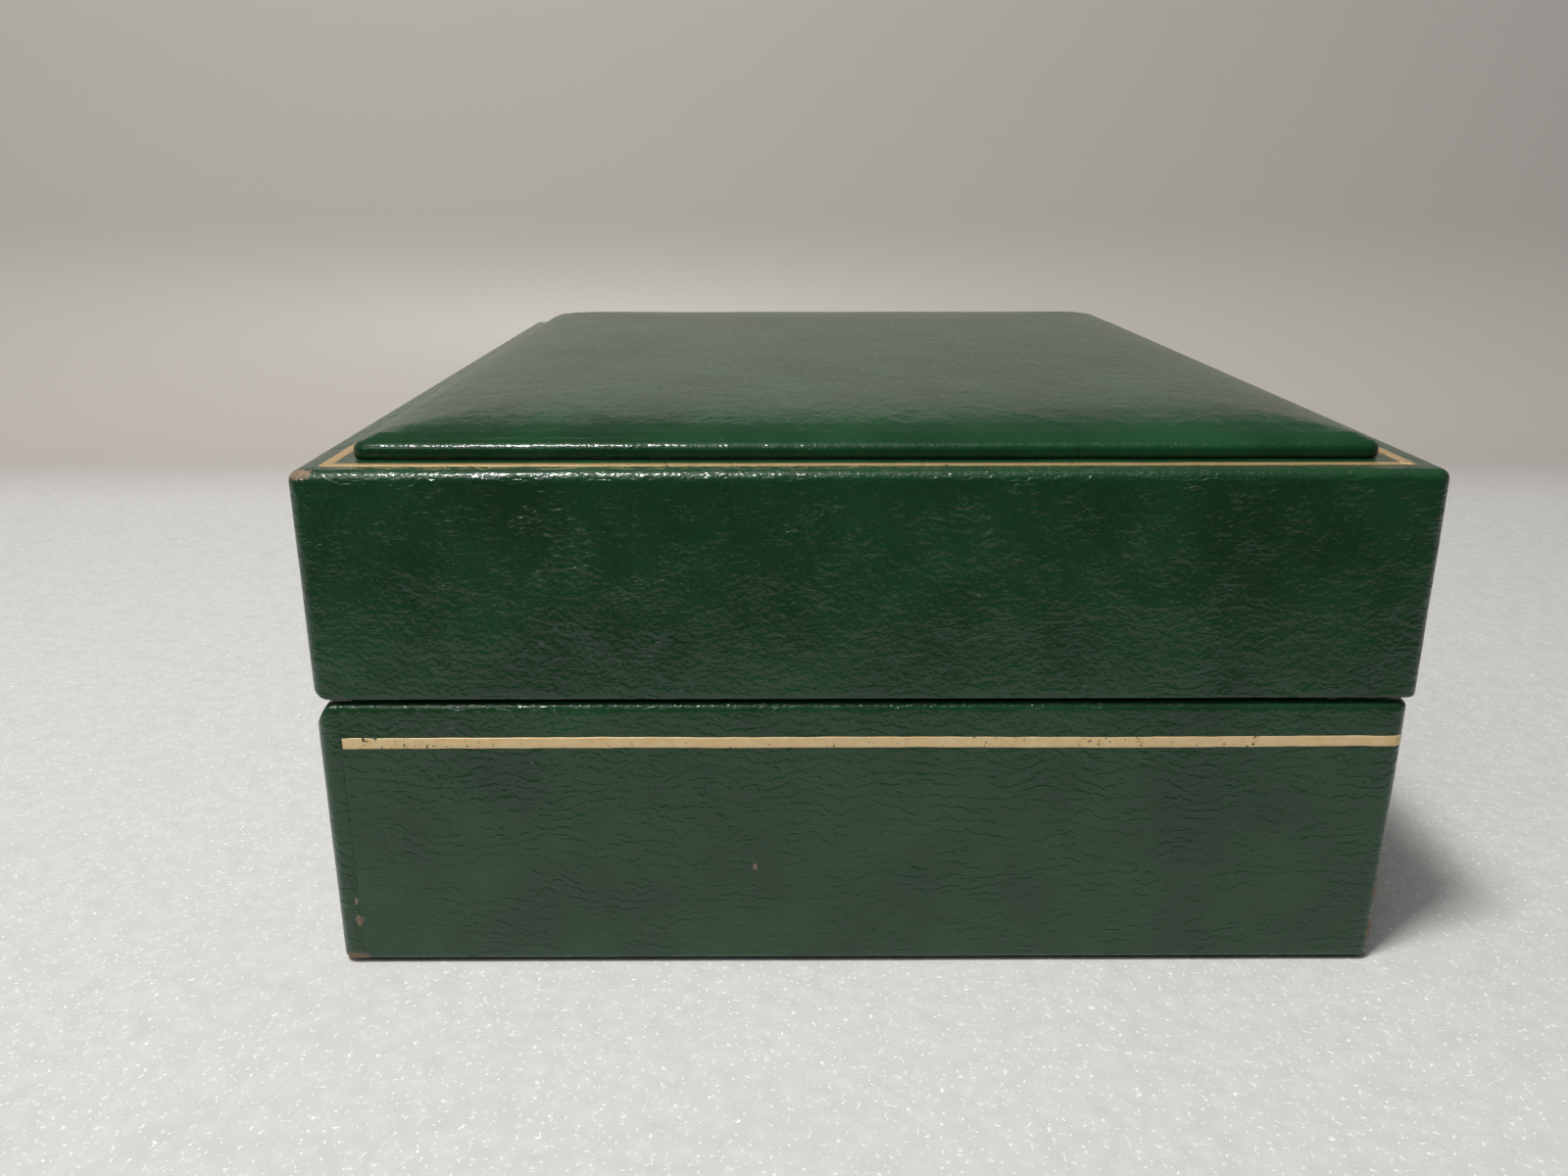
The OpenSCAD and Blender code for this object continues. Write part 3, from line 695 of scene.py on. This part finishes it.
def cushion_mesh(shrink):
    """A rounded block between a box and a ball; the waist where the two halves are sewn is pressed in later.
    """
    bm = bmesh.new()
    bmesh.ops.create_cube(bm, size=1.0)
    bmesh.ops.subdivide_edges(bm, edges=bm.edges, cuts=23, use_grid_fill=True)
    for v in bm.verts:
        d = Vector((v.co.x * 2, v.co.y * 2, v.co.z * 2))
        # a superellipsoid between a box and a ball
        n = (abs(d.x) ** 5 + abs(d.y) ** 5 + abs(d.z) ** 5) ** (1 / 5)
        d = d / n
        half = [(s / 2 - shrink) * MM for s in size]
        v.co = Vector((d.x * half[0], d.y * half[1], d.z * half[2]))
    me = bpy.data.meshes.new("cushion")
    bm.to_mesh(me)
    bm.free()
    return me


me = cushion_mesh(0.9)
cushion = bpy.data.objects.new("watch_cushion", me)
scene.collection.objects.link(cushion)
before = np.zeros(len(me.vertices) * 3, np.float32)
me.vertices.foreach_get("co", before)
c = cushion.modifiers.new("cloth", "CLOTH")
c.settings.use_pressure = True
c.settings.uniform_pressure_force = 3.0
c.settings.effector_weights.gravity = 0
c.settings.tension_stiffness = c.settings.compression_stiffness = 30
c.settings.bending_stiffness = 6
for f in range(1, 16):
    scene.frame_set(f)
e = cushion.evaluated_get(bpy.context.evaluated_depsgraph_get())
after = np.zeros_like(before)
e.data.vertices.foreach_get("co", after)
cushion.modifiers.clear()
scene.frame_set(1)
move = (after - before).reshape(-1, 3)
far = np.linalg.norm(move, axis=1, keepdims=True)
move *= np.minimum(1, CUSHION_STRETCH * MM / np.maximum(far, 1e-9))
if np.isfinite(move).all():
    me.vertices.foreach_set("co", (before.reshape(-1, 3) + move).astype(np.float32).ravel())
for v in me.vertices:
    p = v.co / MM
    seam = math.exp(-((p.z / 0.55) ** 2))
    out = Vector((p.x, p.y, 0)).normalized() if abs(p.z) < size[2] * 0.35 else Vector((0, 0, 0))
    q = p - out * 0.45 * seam + v.normal * 0.12 * wave(p, 9.0, 2.0)
    q.z = max(q.z, -size[2] / 2 + 0.02)
    v.co = (q + Vector(mid)) * MM
me.polygons.foreach_set("use_smooth", [True] * len(me.polygons))
me.materials.append(velour.m)
sub = cushion.modifiers.new("sub", "SUBSURF")
sub.levels = sub.render_levels = 1
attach(cushion, "base")
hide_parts("cushion_cover", "cushion_foam")
print("cushion made")

# %% [markdown]
# The pull ribbon is glued under the deck, comes over the edge of the thumb notch and lies on the
# velour. It is a satin strip with a slight curl at its free end.

# %% Ribbon
rb_lo, rb_hi = (np.array(c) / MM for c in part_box("insert_pull_ribbon"))
ribbon_mat = Mat("satin_ribbon_woven", Roughness=0.38)
L0, L1, RW = rb_lo[1] - 0.35, rb_hi[1], rb_hi[0]
DECK = rb_lo[2]
line = [(L0 + 6.0, DECK - 3.25), (L0 + 2.0, DECK - 3.22), (L0 + 0.1, DECK - 3.1), (L0 - 0.35, DECK - 2.6)]
line += [(L0 - 0.4, DECK - 1.5), (L0 - 0.35, DECK - 0.4), (L0, DECK + 0.16), (L0 + 0.8, DECK + 0.25)]
line += [(L0 + 0.8 + (L1 - L0 - 0.8) * t, DECK + 0.2 + 0.9 * t**3) for t in np.linspace(0.08, 1, 16)]
cols = 11
V, F = [], []
for k, (y, z) in enumerate(line):
    for c in range(cols):
        f = c / (cols - 1) * 2 - 1
        tip = 0.0 if k < len(line) - 1 else -0.5 * (1 - abs(f))
        V.append((f * RW, y + tip, z + 0.04 * math.sin(3 * f + y) + 0.05 * f * f))
for k in range(len(line) - 1):
    for c in range(cols - 1):
        F.append((k * cols + c, k * cols + c + 1, (k + 1) * cols + c + 1, (k + 1) * cols + c))
along = np.concatenate([[0], np.cumsum([math.dist(a, b) for a, b in zip(line, line[1:])])])
UV = [(c / (cols - 1) * 2 * RW, along[k]) for k in range(len(line)) for c in range(cols)]
ribbon = make("insert_ribbon_satin", V, F, ribbon_mat.m, None, UV)
th = ribbon.modifiers.new("thickness", "SOLIDIFY")
th.thickness, th.offset = 0.22 * MM, 0.0
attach(ribbon, "base")
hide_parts("insert_pull_ribbon")
print("ribbon", round(2 * RW, 1), "by", round(float(along[-1]), 1), "mm")

# %% [markdown]
# The hinge screws are small slotted countersunk brass screws. They repeat, so one screw is
# placed along a line of points by a node tree with the count and the ends as inputs.

# %% Screws
brass = Mat("brass_drawn_aged", Metallic=1.0, Roughness=0.32)
SLOT_HALF, SLOT_DEEP = 0.18, 0.35


def screw_source():
    """One slotted countersunk head with a short shank, head up, its top at z = 0."""
    bm = bmesh.new()
    rings, seg = [(1.36, 0.0), (1.38, -0.06), (0.82, -0.78), (0.8, -2.0)], 24
    loops = []
    turns = np.linspace(0, 2 * math.pi, seg, endpoint=False)
    for r, z in rings:
        loops.append([bm.verts.new((r * MM * math.cos(a), r * MM * math.sin(a), z * MM)) for a in turns])
    for a, b in zip(loops, loops[1:]):
        for k in range(seg):
            bm.faces.new((a[k], b[k], b[(k + 1) % seg], a[(k + 1) % seg]))
    bm.faces.new(loops[0])
    bm.faces.new(loops[-1][::-1])
    for y in (SLOT_HALF * MM, -SLOT_HALF * MM):
        whole = bm.verts[:] + bm.edges[:] + bm.faces[:]
        bmesh.ops.bisect_plane(bm, geom=whole, plane_co=(0, y, 0), plane_no=(0, 1, 0))
    mids = [(f, f.calc_center_median()) for f in bm.faces]
    strip = [f for f, m in mids if m.z > -0.01 * MM and abs(m.y) < SLOT_HALF * MM - 0.01 * MM]
    up = bmesh.ops.extrude_face_region(bm, geom=strip)
    cut = [v for v in up["geom"] if isinstance(v, bmesh.types.BMVert)]
    bmesh.ops.translate(bm, vec=(0, 0, -SLOT_DEEP * MM), verts=cut)
    bmesh.ops.delete(bm, geom=strip, context="FACES_ONLY")
    bmesh.ops.recalc_face_normals(bm, faces=bm.faces)
    me = bpy.data.meshes.new("screw_source")
    bm.to_mesh(me)
    bm.free()
    return bpy.data.objects.new("screw_source", me)


def screw_tree():
    """A node tree that places Count screws along a line, each turned at random."""
    t = bpy.data.node_groups.new("place_screws", "GeometryNodeTree")
    add = t.interface.new_socket
    add("Geometry", in_out="INPUT", socket_type="NodeSocketGeometry")
    add("Screw", in_out="INPUT", socket_type="NodeSocketObject")
    add("Count", in_out="INPUT", socket_type="NodeSocketInt")
    add("Start", in_out="INPUT", socket_type="NodeSocketVector")
    add("Step", in_out="INPUT", socket_type="NodeSocketVector")
    add("Turn", in_out="INPUT", socket_type="NodeSocketVector")
    add("Material", in_out="INPUT", socket_type="NodeSocketMaterial")
    add("Geometry", in_out="OUTPUT", socket_type="NodeSocketGeometry")
    new, link = t.nodes.new, t.links.new
    gi, go = new("NodeGroupInput"), new("NodeGroupOutput")
    line, obj = new("GeometryNodeMeshLine"), new("GeometryNodeObjectInfo")
    inst = new("GeometryNodeInstanceOnPoints")
    real, setm = new("GeometryNodeRealizeInstances"), new("GeometryNodeSetMaterial")
    spin, idx = new("FunctionNodeRandomValue"), new("GeometryNodeInputIndex")
    turn = new("ShaderNodeCombineXYZ")
    both = new("FunctionNodeRotateEuler")
    both.rotation_type, both.space = "EULER", "LOCAL"
    spin.data_type = "FLOAT"
    spin.inputs["Max"].default_value = 3.1
    spin.inputs["Seed"].default_value = 4
    link(idx.outputs[0], spin.inputs["ID"])
    link(spin.outputs[1], turn.inputs["Z"])
    link(gi.outputs["Turn"], both.inputs["Rotation"])
    link(turn.outputs[0], both.inputs["Rotate By"])
    link(gi.outputs["Count"], line.inputs["Count"])
    link(gi.outputs["Start"], line.inputs["Start Location"])
    link(gi.outputs["Step"], line.inputs["Offset"])
    link(gi.outputs["Screw"], obj.inputs["Object"])
    link(line.outputs["Mesh"], inst.inputs["Points"])
    link(obj.outputs["Geometry"], inst.inputs["Instance"])
    link(both.outputs[0], inst.inputs["Rotation"])
    link(inst.outputs["Instances"], real.inputs[0])
    link(real.outputs[0], setm.inputs["Geometry"])
    link(gi.outputs["Material"], setm.inputs["Material"])
    link(setm.outputs[0], go.inputs[0])
    return t


source, tree = screw_source(), screw_tree()
scene.collection.objects.link(source)


def screws(node, body, z, turn):
    """The screws of one leaf, along its CAD box, made plain and put in its place."""
    lo, hi = (np.array(c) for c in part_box(node))
    r = (hi[1] - lo[1]) / 2
    holder = bpy.data.objects.new("holder", bpy.data.meshes.new("holder"))
    scene.collection.objects.link(holder)
    mod = holder.modifiers.new("screws", "NODES")
    mod.node_group = tree
    ids = {i.name: i.identifier for i in tree.interface.items_tree if i.in_out == "INPUT"}
    mod[ids["Screw"]] = source
    mod[ids["Count"]] = 3
    mod[ids["Start"]] = (lo[0] + r, (lo[1] + hi[1]) / 2, z * MM)
    mod[ids["Step"]] = ((hi[0] - lo[0] - 2 * r) / 2, 0.0, 0.0)
    mod[ids["Turn"]] = (turn, 0.0, 0.0)
    mod[ids["Material"]] = brass.m
    e = holder.evaluated_get(bpy.context.evaluated_depsgraph_get())
    me = bpy.data.meshes.new_from_object(e)
    me.name = node + "_slotted"
    holder.modifiers.clear()
    bpy.data.objects.remove(holder)
    if not me.materials:
        me.materials.append(brass.m)
    o = bpy.data.objects.new(me.name, me)
    scene.collection.objects.link(o)
    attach(o, body)
    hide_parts(node)
    return len(me.polygons)


base_count = screws("hinge_base_screws", "base", BASE_TOP - 0.02, 0.0)
lid_count = screws("hinge_lid_screws", "lid", LID_Z + 0.02, math.pi)
print("screws:", base_count, "and", lid_count, "faces")
bpy.data.objects.remove(source)

# %% [markdown]
# Green leather. Calf, dyed through and glazed, so it is glossy but not like lacquer. It has
# drawn creases that run mostly along the box, a millimetre or so apart, over a fine pore grain.
# They are bumps on the skin's own UV, which is in millimetres, and the glaze follows them. Where
# the hide looks up they catch the light, and where it mirrors a bright sheet they look dark.
# Worn corners show the tan of the bare hide.

# %% Leather material
TAN = "#A6947F"


def spots(mat, places):
    """1 on each listed spot: (centre, radii) in millimetres, with ragged edges."""
    co = mat.N("TexCoord", out=3)
    mm = mat.N("VectorMath", co, (1000, 1000, 1000), operation="MULTIPLY")
    rag = mat.N("TexNoise", mm, None, 2.2, 3.0)
    total = None
    for c, r in places:
        d = mat.N("VectorMath", mm, c, operation="SUBTRACT")
        d = mat.N("VectorMath", d, r, operation="DIVIDE")
        d = mat.N("VectorMath", d, out=1, operation="LENGTH")
        d = mat.math("ADD", d, mat.math("MULTIPLY", rag, 1.6))
        one = mat.N("MapRange", d, 1.55, 1.95, 1.0, 0.0)
        total = one if total is None else mat.math("MAXIMUM", total, one)
    return total


def hide(mat, coords, dark, light, pitch, length, depth, places, grain=1.0):
    """Colour, gloss and bump of the glazed hide on coordinates in millimetres.

    The creases are shingled: a short steep step that faces up, then a long gentle fall. pitch is
    the distance between them, length how long one runs, depth how high the step is. places are
    the worn spots, and grain scales the pores.
    """
    stretch = (1 / length, 1 / (pitch * 3), 1 / (pitch * 3))
    wide = mat.N("VectorMath", coords, stretch, operation="MULTIPLY")
    small = mat.N("VectorMath", coords, (0.42, 0.75, 0.75), operation="MULTIPLY")
    sep = mat.t.nodes.new("ShaderNodeSeparateXYZ")
    mat.t.links.new(coords, sep.inputs[0])
    bend = mat.math("MULTIPLY", mat.N("TexNoise", wide, None, 0.5, 2.0, 0.5), 5.0)
    # small arcs that bulge upwards and meet in cusps
    arcs = mat.math("ABSOLUTE", mat.math("SUBTRACT", mat.N("TexNoise", small, None, 1.0, 2.0, 0.5), 0.5))
    ragged = mat.math("MULTIPLY", arcs, 3.0)
    phase = mat.math("ADD", mat.math("DIVIDE", sep.outputs["Y"], pitch), mat.math("ADD", bend, ragged))
    step = mat.ramp(mat.math("FRACT", phase), (0.0, 0.0), (0.24, 1.0), (1.0, 0.0))
    hold = mat.ramp(mat.N("TexNoise", wide, None, 1.15, 2.0), (0.38, 0.2), (0.6, 1.0))
    patch = mat.ramp(mat.N("TexNoise", coords, None, 0.06, 2.0), (0.34, 0.6), (0.6, 1.0))
    crease = mat.math("MULTIPLY", step, mat.math("MULTIPLY", hold, patch))
    pores = mat.N("TexVoronoi", coords, None, 2.4, feature="SMOOTH_F1")
    pores2 = mat.N("TexNoise", coords, None, 1.5, 4.0, 0.6)
    swell = mat.N("TexNoise", coords, None, 0.3, 2.0)
    tone = mat.N("TexNoise", coords, None, 0.08, 3.0)
    colour = mat.mix(mat.ramp(tone, (0.35, 0.0), (0.68, 1.0)), dark, light)
    rough = mat.N("MapRange", pores2, 0.3, 0.7, 0.34, 0.46)
    if places:
        bare = spots(mat, places)
        colour = mat.mix(bare, colour, mat.mix(pores2, "#5C4A3C", TAN))
        rough = mat.math("MAXIMUM", rough, mat.math("MULTIPLY", bare, 0.85))
        mat.put("Coat Weight", mat.math("MULTIPLY", mat.math("SUBTRACT", 1.0, bare), 0.7))
    else:
        mat.b.inputs["Coat Weight"].default_value = 0.45
    mat.b.inputs["Coat Roughness"].default_value = 0.06
    mat.b.inputs["Specular IOR Level"].default_value = 0.22 if places else 0.12
    mat.b.inputs["IOR"].default_value = 1.48
    mat.put("Base Color", colour)
    mat.put("Roughness", rough)
    n = mat.bump(swell, 0.20 * MM, 0.8)
    n = mat.bump(crease, depth * MM, 1.0, n)
    n = mat.bump(pores, 0.06 * MM * grain, 0.8, n)
    n = mat.bump(pores2, 0.07 * MM * grain, 0.8, n)
    mat.put("Normal", n)
    mat.put("Coat Normal", n)


EDGE = -HX
WORN = [
    # hinge side of the near end: the lid's top corner, the base's bottom corner, and the seam
    ((EDGE + 0.3, BACK - 1.3, LEDGE_Z - 0.25), (0.9, 1.35, 0.6)),
    ((EDGE + 0.2, BACK - 1.6, BASE_Z + 0.4), (1.2, 1.5, 0.7)),
    ((EDGE, SEAM_Y + 0.1, 5.4), (0.8, 0.4, 0.7)),
    ((EDGE, SEAM_Y + 0.2, 7.8), (0.6, 0.2, 0.4)),
    # front corner of the near end, on the base and on the lid
    ((EDGE + 0.3, BASE_FRONT + 0.3, 8.5), (0.5, 0.6, 1.0)),
    ((EDGE + 0.3, BASE_FRONT + 0.3, 3.5), (0.5, 0.7, 1.6)),
    ((EDGE + 0.3, LID_FRONT + 0.2, 47.5), (0.4, 0.4, 0.8)),
    # a nick in the middle of the near end
    ((EDGE, 11.7, 11.9), (0.6, 0.2, 0.4)),
    # two corners of the far end
    ((-EDGE - 0.3, BASE_FRONT + 0.6, 2.0), (1.0, 1.4, 0.9)),
    ((-EDGE - 0.4, BACK - 0.8, LEDGE_Z - 0.4), (1.3, 1.0, 0.8)),
]
hide(leather, leather.N("UVMap"), "#163A20", "#1D492B", 1.4, 4.0, 0.07, WORN)
ob = pad_leather.N("VectorMath", pad_leather.N("TexCoord", out=3), (1000, 1000, 1000), operation="MULTIPLY")
hide(pad_leather, ob, "#12371D", "#1A4629", 3.0, 6.0, 0.03, [], 0.6)
print("leather materials made")

# %% [markdown]
# Foil is real metal a few microns thick. Where it has flaked the leather shows, and dirt sits
# along it. The velour is a short cream pile that lightens at its edges. The ribbon is satin.

# %% Foil, velour, ribbon and brass
def gold(mat, dull, bright, metal):
    """Blocked foil: a thin metal film, rubbed through to the leather where it has flaked."""
    co = mat.N("VectorMath", mat.N("TexCoord", out=3), (1000, 1000, 1000), operation="MULTIPLY")
    speck = mat.N("TexNoise", co, None, 1.7, 4.0, 0.7)
    zone = mat.N("TexNoise", co, None, 0.07, 1.0)
    lost = mat.ramp(mat.math("ADD", speck, mat.math("MULTIPLY", zone, 0.22)), (0.745, 0.0), (0.785, 1.0))
    tint = mat.mix(mat.N("TexNoise", co, None, 0.6, 3.0), dull, bright)
    mat.put("Base Color", mat.mix(lost, tint, "#1A2E1C"))
    mat.put("Metallic", mat.math("MULTIPLY", mat.math("SUBTRACT", 1.0, lost), metal))
    mat.put("Roughness", mat.N("MapRange", speck, 0.3, 0.7, 0.3, 0.45))
    mat.put("Normal", mat.bump(mat.N("TexNoise", co, None, 1.4, 3.0), 0.05 * MM, 0.8))


# painted reflection on the base's bright line, and painted shade on the lid's darker frame
gold(foil, "#E6BF82", "#FFE8B8", 0.2)
gold(foil_lid, "#BE9A66", "#E0C294", 0.5)


def cloth_look(mat, a, b, pile):
    """A woven or napped cloth: tone that drifts, and a fine nap."""
    co = mat.N("VectorMath", mat.N("TexCoord", out=3), (1000, 1000, 1000), operation="MULTIPLY")
    drift = mat.N("TexNoise", co, None, 0.09, 3.0)
    nap = mat.N("TexNoise", co, None, pile, 2.0, 0.7)
    both = mat.math("ADD", mat.math("MULTIPLY", drift, 0.5), mat.math("MULTIPLY", nap, 0.5))
    mat.put("Base Color", mat.mix(mat.ramp(both, (0.25, 0.0), (0.75, 1.0)), a, b))
    mat.put("Normal", mat.bump(nap, 0.12 * MM, 0.7))


cloth_look(velour, "#B39A6E", "#D6C49D", 3.2)
ruv = ribbon_mat.N("UVMap")
warp_threads = ribbon_mat.N("TexWave", ruv, 3.0, 0.3, bands_direction="X")
ribbon_mat.put("Base Color", ribbon_mat.mix(warp_threads, "#A88B52", "#C9AE74"))
weft_threads = ribbon_mat.N("TexWave", ruv, 6.0, 0.5, bands_direction="Y")
ribbon_mat.put("Normal", ribbon_mat.bump(weft_threads, 0.03 * MM, 0.6))
ribbon_mat.b.inputs["Sheen Weight"].default_value = 0.3
bco = brass.N("VectorMath", brass.N("TexCoord", out=3), (180, 1400, 1400), operation="MULTIPLY")
brass.put("Base Color", brass.mix(brass.N("TexNoise", bco, None, 0.7, 4.0), "#8E6A2C", "#C9A45A"))
brass.put("Roughness", brass.N("MapRange", brass.N("TexNoise", bco, None, 2.0, 3.0), 0.3, 0.7, 0.26, 0.45))
brass.put("Normal", brass.bump(brass.N("TexNoise", bco, None, 3.0, 2.0), 0.01 * MM, 0.6))

# %% [markdown]
# What is hidden gets its real material too, for whoever takes the box apart: beech boards cut
# along the grain, grey board, wool felt under the base, spring steel, and foam.

# %% Wood, card, felt, steel and foam
wood = Mat("beech_board_sanded", Roughness=0.55)
wco = wood.N("VectorMath", wood.N("TexCoord", out=3), (60, 900, 900), operation="MULTIPLY")
grain = wood.N("TexNoise", wco, None, 0.6, 5.0, 0.6)
wood.put("Base Color", wood.mix(wood.ramp(grain, (0.3, 0.0), (0.7, 1.0)), "#A9835A", "#D3B184"))
wood.put("Normal", wood.bump(grain, 0.04 * MM, 0.6))
card = Mat("grey_board_pressed", Roughness=0.85)
cloth_look(card, "#7C766B", "#9A9488", 1.4)
felt = Mat("underside_felt_wool", Roughness=0.98)
cloth_look(felt, "#14261A", "#22382A", 2.4)
foam = Mat("foam_cream_cut", Roughness=0.9)
cloth_look(foam, "#CFC5A8", "#E4DCC2", 1.8)
steel = Mat("spring_steel_ground", Metallic=1.0, Roughness=0.3)
sco = steel.N("VectorMath", steel.N("TexCoord", out=3), (300, 2500, 2500), operation="MULTIPLY")
steel.put("Base Color", steel.mix(steel.N("TexNoise", sco, None, 1.0, 3.0), "#6F7275", "#9DA0A3"))
steel.put("Normal", steel.bump(steel.N("TexNoise", sco, None, 1.0, 3.0), 0.01 * MM, 0.5))
LOOKS = {
    "wall": wood, "end": wood, "floor_board": wood, "top_board": wood, "rest": wood,
    "infill_card": card, "deck_board": card, "pad_board": card, "ceiling_board": card,
    "underside_cloth": felt, "leaf": brass, "pin": steel, "springs": steel, "foam": foam,
}
for name, o in nodes.items():
    for key, mat in LOOKS.items():
        if key in name:
            o.data.materials.clear()
            o.data.materials.append(mat.m)
print("materials:", len(bpy.data.materials))

# %% [markdown]
# The stage: a pale foam sheet that curves up into a plain low wall behind the box. The lamp is
# above, behind and to the left. Beyond the sheet's near edge a dark plane is painted shade, so the
# lid's near end mirrors that painted shade and the base's near end mirrors the bright sheet.

# %% Stage
SHEET_NEAR, WALL_X, WALL_TOP, COVE_R = -0.155, 0.26, 0.185, 0.07
BLEND_FROM, BLEND_TO = 0.135, 0.205
HALF_STAGE = 2.0
sheet_mat = Mat("pale_foam_sheet_to_wall", Roughness=0.5)
fco = sheet_mat.N("VectorMath", sheet_mat.N("TexCoord", out=3), (1000, 1000, 1000), operation="MULTIPLY")
bubble = sheet_mat.N("TexVoronoi", fco, None, 0.55, feature="SMOOTH_F1")
# white specks painted into the sheet's colour are painted glints
painted_glint = sheet_mat.ramp(sheet_mat.N("TexNoise", fco, None, 1.5, 4.0, 0.75), (0.585, 0.0), (0.64, 1.0))
sheet = sheet_mat.mix(bubble, "#DADAD9", "#CDCDCC")
sheet = sheet_mat.mix(painted_glint, sheet, "#FFFFFF")
place_x = sheet_mat.t.nodes.new("ShaderNodeSeparateXYZ")
sheet_mat.t.links.new(sheet_mat.N("TexCoord", out=3), place_x.inputs[0])
x = place_x.outputs["X"]
far = sheet_mat.N("MapRange", x, BLEND_FROM, BLEND_TO, 0.0, 1.0, interpolation_type="SMOOTHSTEP")
sheet_mat.put("Base Color", sheet_mat.mix(far, sheet, "#C0BAB6"))
relief = sheet_mat.math("MULTIPLY", bubble, sheet_mat.math("SUBTRACT", 1.0, far))
sheet_mat.put("Normal", sheet_mat.bump(relief, 0.25 * MM, 0.5))
# painted shade: one dark material for the shaded floor near the camera and for the person
painted_shade_mat = Mat("dark_cloth_in_shade", Roughness=0.95)
weave = painted_shade_mat.N("TexNoise", painted_shade_mat.N("TexCoord", out=3), None, 8.0, 2.0)
painted_shade_mat.put("Base Color", painted_shade_mat.mix(weave, "#1B1A19", "#242322"))


def plane(name, pts, mat):
    """One flat piece of the stage."""
    me = bpy.data.meshes.new(name)
    me.from_pydata(pts, [], [(0, 1, 2, 3)])
    me.materials.append(mat)
    o = bpy.data.objects.new(name, me)
    scene.collection.objects.link(o)
    return o


def cove(name, x0, x1, radius, top, half, mat):
    """The sheet and the wall behind as one surface: flat, then a quarter round, then upright."""
    prof = [(x0, 0.0), (x1 - radius, 0.0)]
    for a in np.linspace(0.1, math.pi / 2, 16):
        prof.append((x1 - radius + radius * math.sin(a), radius - radius * math.cos(a)))
    prof += [(x1, top)]
    V = [(x, y, z) for x, z in prof for y in (half, -half)]
    me = bpy.data.meshes.new(name)
    me.from_pydata(V, [], [(2 * k, 2 * k + 1, 2 * k + 3, 2 * k + 2) for k in range(len(prof) - 1)])
    me.polygons.foreach_set("use_smooth", [True] * len(me.polygons))
    me.materials.append(mat)
    o = bpy.data.objects.new(name, me)
    scene.collection.objects.link(o)
    return o


back_drop = cove("backdrop", SHEET_NEAR, WALL_X, COVE_R, WALL_TOP, HALF_STAGE, sheet_mat.m)
# painted shade: a dark plane beyond the sheet's near edge, and a dark person behind the camera
FAR, LOW = HALF_STAGE, -0.002
near_edge = [(SHEET_NEAR, -FAR, LOW), (SHEET_NEAR, FAR, LOW)]
table = plane("table", [(-FAR, -FAR, LOW)] + near_edge + [(-FAR, FAR, LOW)], painted_shade_mat.m)
BACK_X, HALF_W, HIGH = -0.42, 0.35, 0.35
outline = [(BACK_X, HALF_W, 0.0), (BACK_X, -HALF_W, 0.0), (BACK_X, -HALF_W, HIGH), (BACK_X, HALF_W, HIGH)]
person = plane("person", outline, painted_shade_mat.m)
person.visible_camera = False


def area(name, place, target, size, power, colour=(1, 1, 1)):
    """A rectangular light that looks at a target."""
    d = bpy.data.lights.new(name, "AREA")
    d.shape, d.size, d.size_y, d.energy, d.color = "RECTANGLE", size[0], size[1], power, colour
    o = bpy.data.objects.new(name, d)
    o.location = place
    o.rotation_euler = (Vector(target) - Vector(place)).to_track_quat("-Z", "Y").to_euler()
    scene.collection.objects.link(o)


area("lamp", (-0.20, 0.155, 0.64), (-0.05, 0, 0.03), (0.11, 0.11), 3.6, (1.0, 0.985, 0.96))
area("ceiling", (-0.2, 0.2, 1.5), (0.0, 0, 0), (1.2, 1.2), 3.5)
area("window", (-1.0, 0.5, 1.0), (0.0, 0, 0.03), (0.8, 0.5), 4.0)
world = bpy.data.worlds.new("room")
scene.world = world
world.use_nodes = True
world.node_tree.nodes["Background"].inputs[0].default_value = (0.60, 0.59, 0.57, 1)
world.node_tree.nodes["Background"].inputs[1].default_value = 0.16

# %% [markdown]
# The camera stands close in front of the near end, a little above the lid, and looks down on it.

# %% Camera
PLACE = Vector((-0.1913, 0.00906, 0.0831))
FRAME_W = 1600  # the focal length is in the units of a frame this wide
YAW, PITCH, ROLL_ANGLE, FOCAL = 0.0042, 0.3110, -0.0006, 1306.0
f = Vector((math.cos(PITCH) * math.cos(YAW), -math.cos(PITCH) * math.sin(YAW), -math.sin(PITCH)))
r = Vector((-math.sin(YAW), -math.cos(YAW), 0))
u = r.cross(f)
c, s = math.cos(ROLL_ANGLE), math.sin(ROLL_ANGLE)
r, u = r * c + u * s, u * c - r * s
cam = bpy.data.cameras.new("camera")
cam.sensor_width = 36
cam.lens = FOCAL / FRAME_W * cam.sensor_width
cam.clip_start = 0.005
cam_obj = bpy.data.objects.new("camera", cam)
rows = [(r[k], u[k], -f[k], PLACE[k]) for k in range(3)]
cam_obj.matrix_world = Matrix(rows + [(0, 0, 0, 1)])
scene.collection.objects.link(cam_obj)
scene.camera = cam_obj
scene.view_settings.view_transform = "Standard"
scene.view_settings.exposure = 0.0
print("camera", [round(v, 4) for v in PLACE])
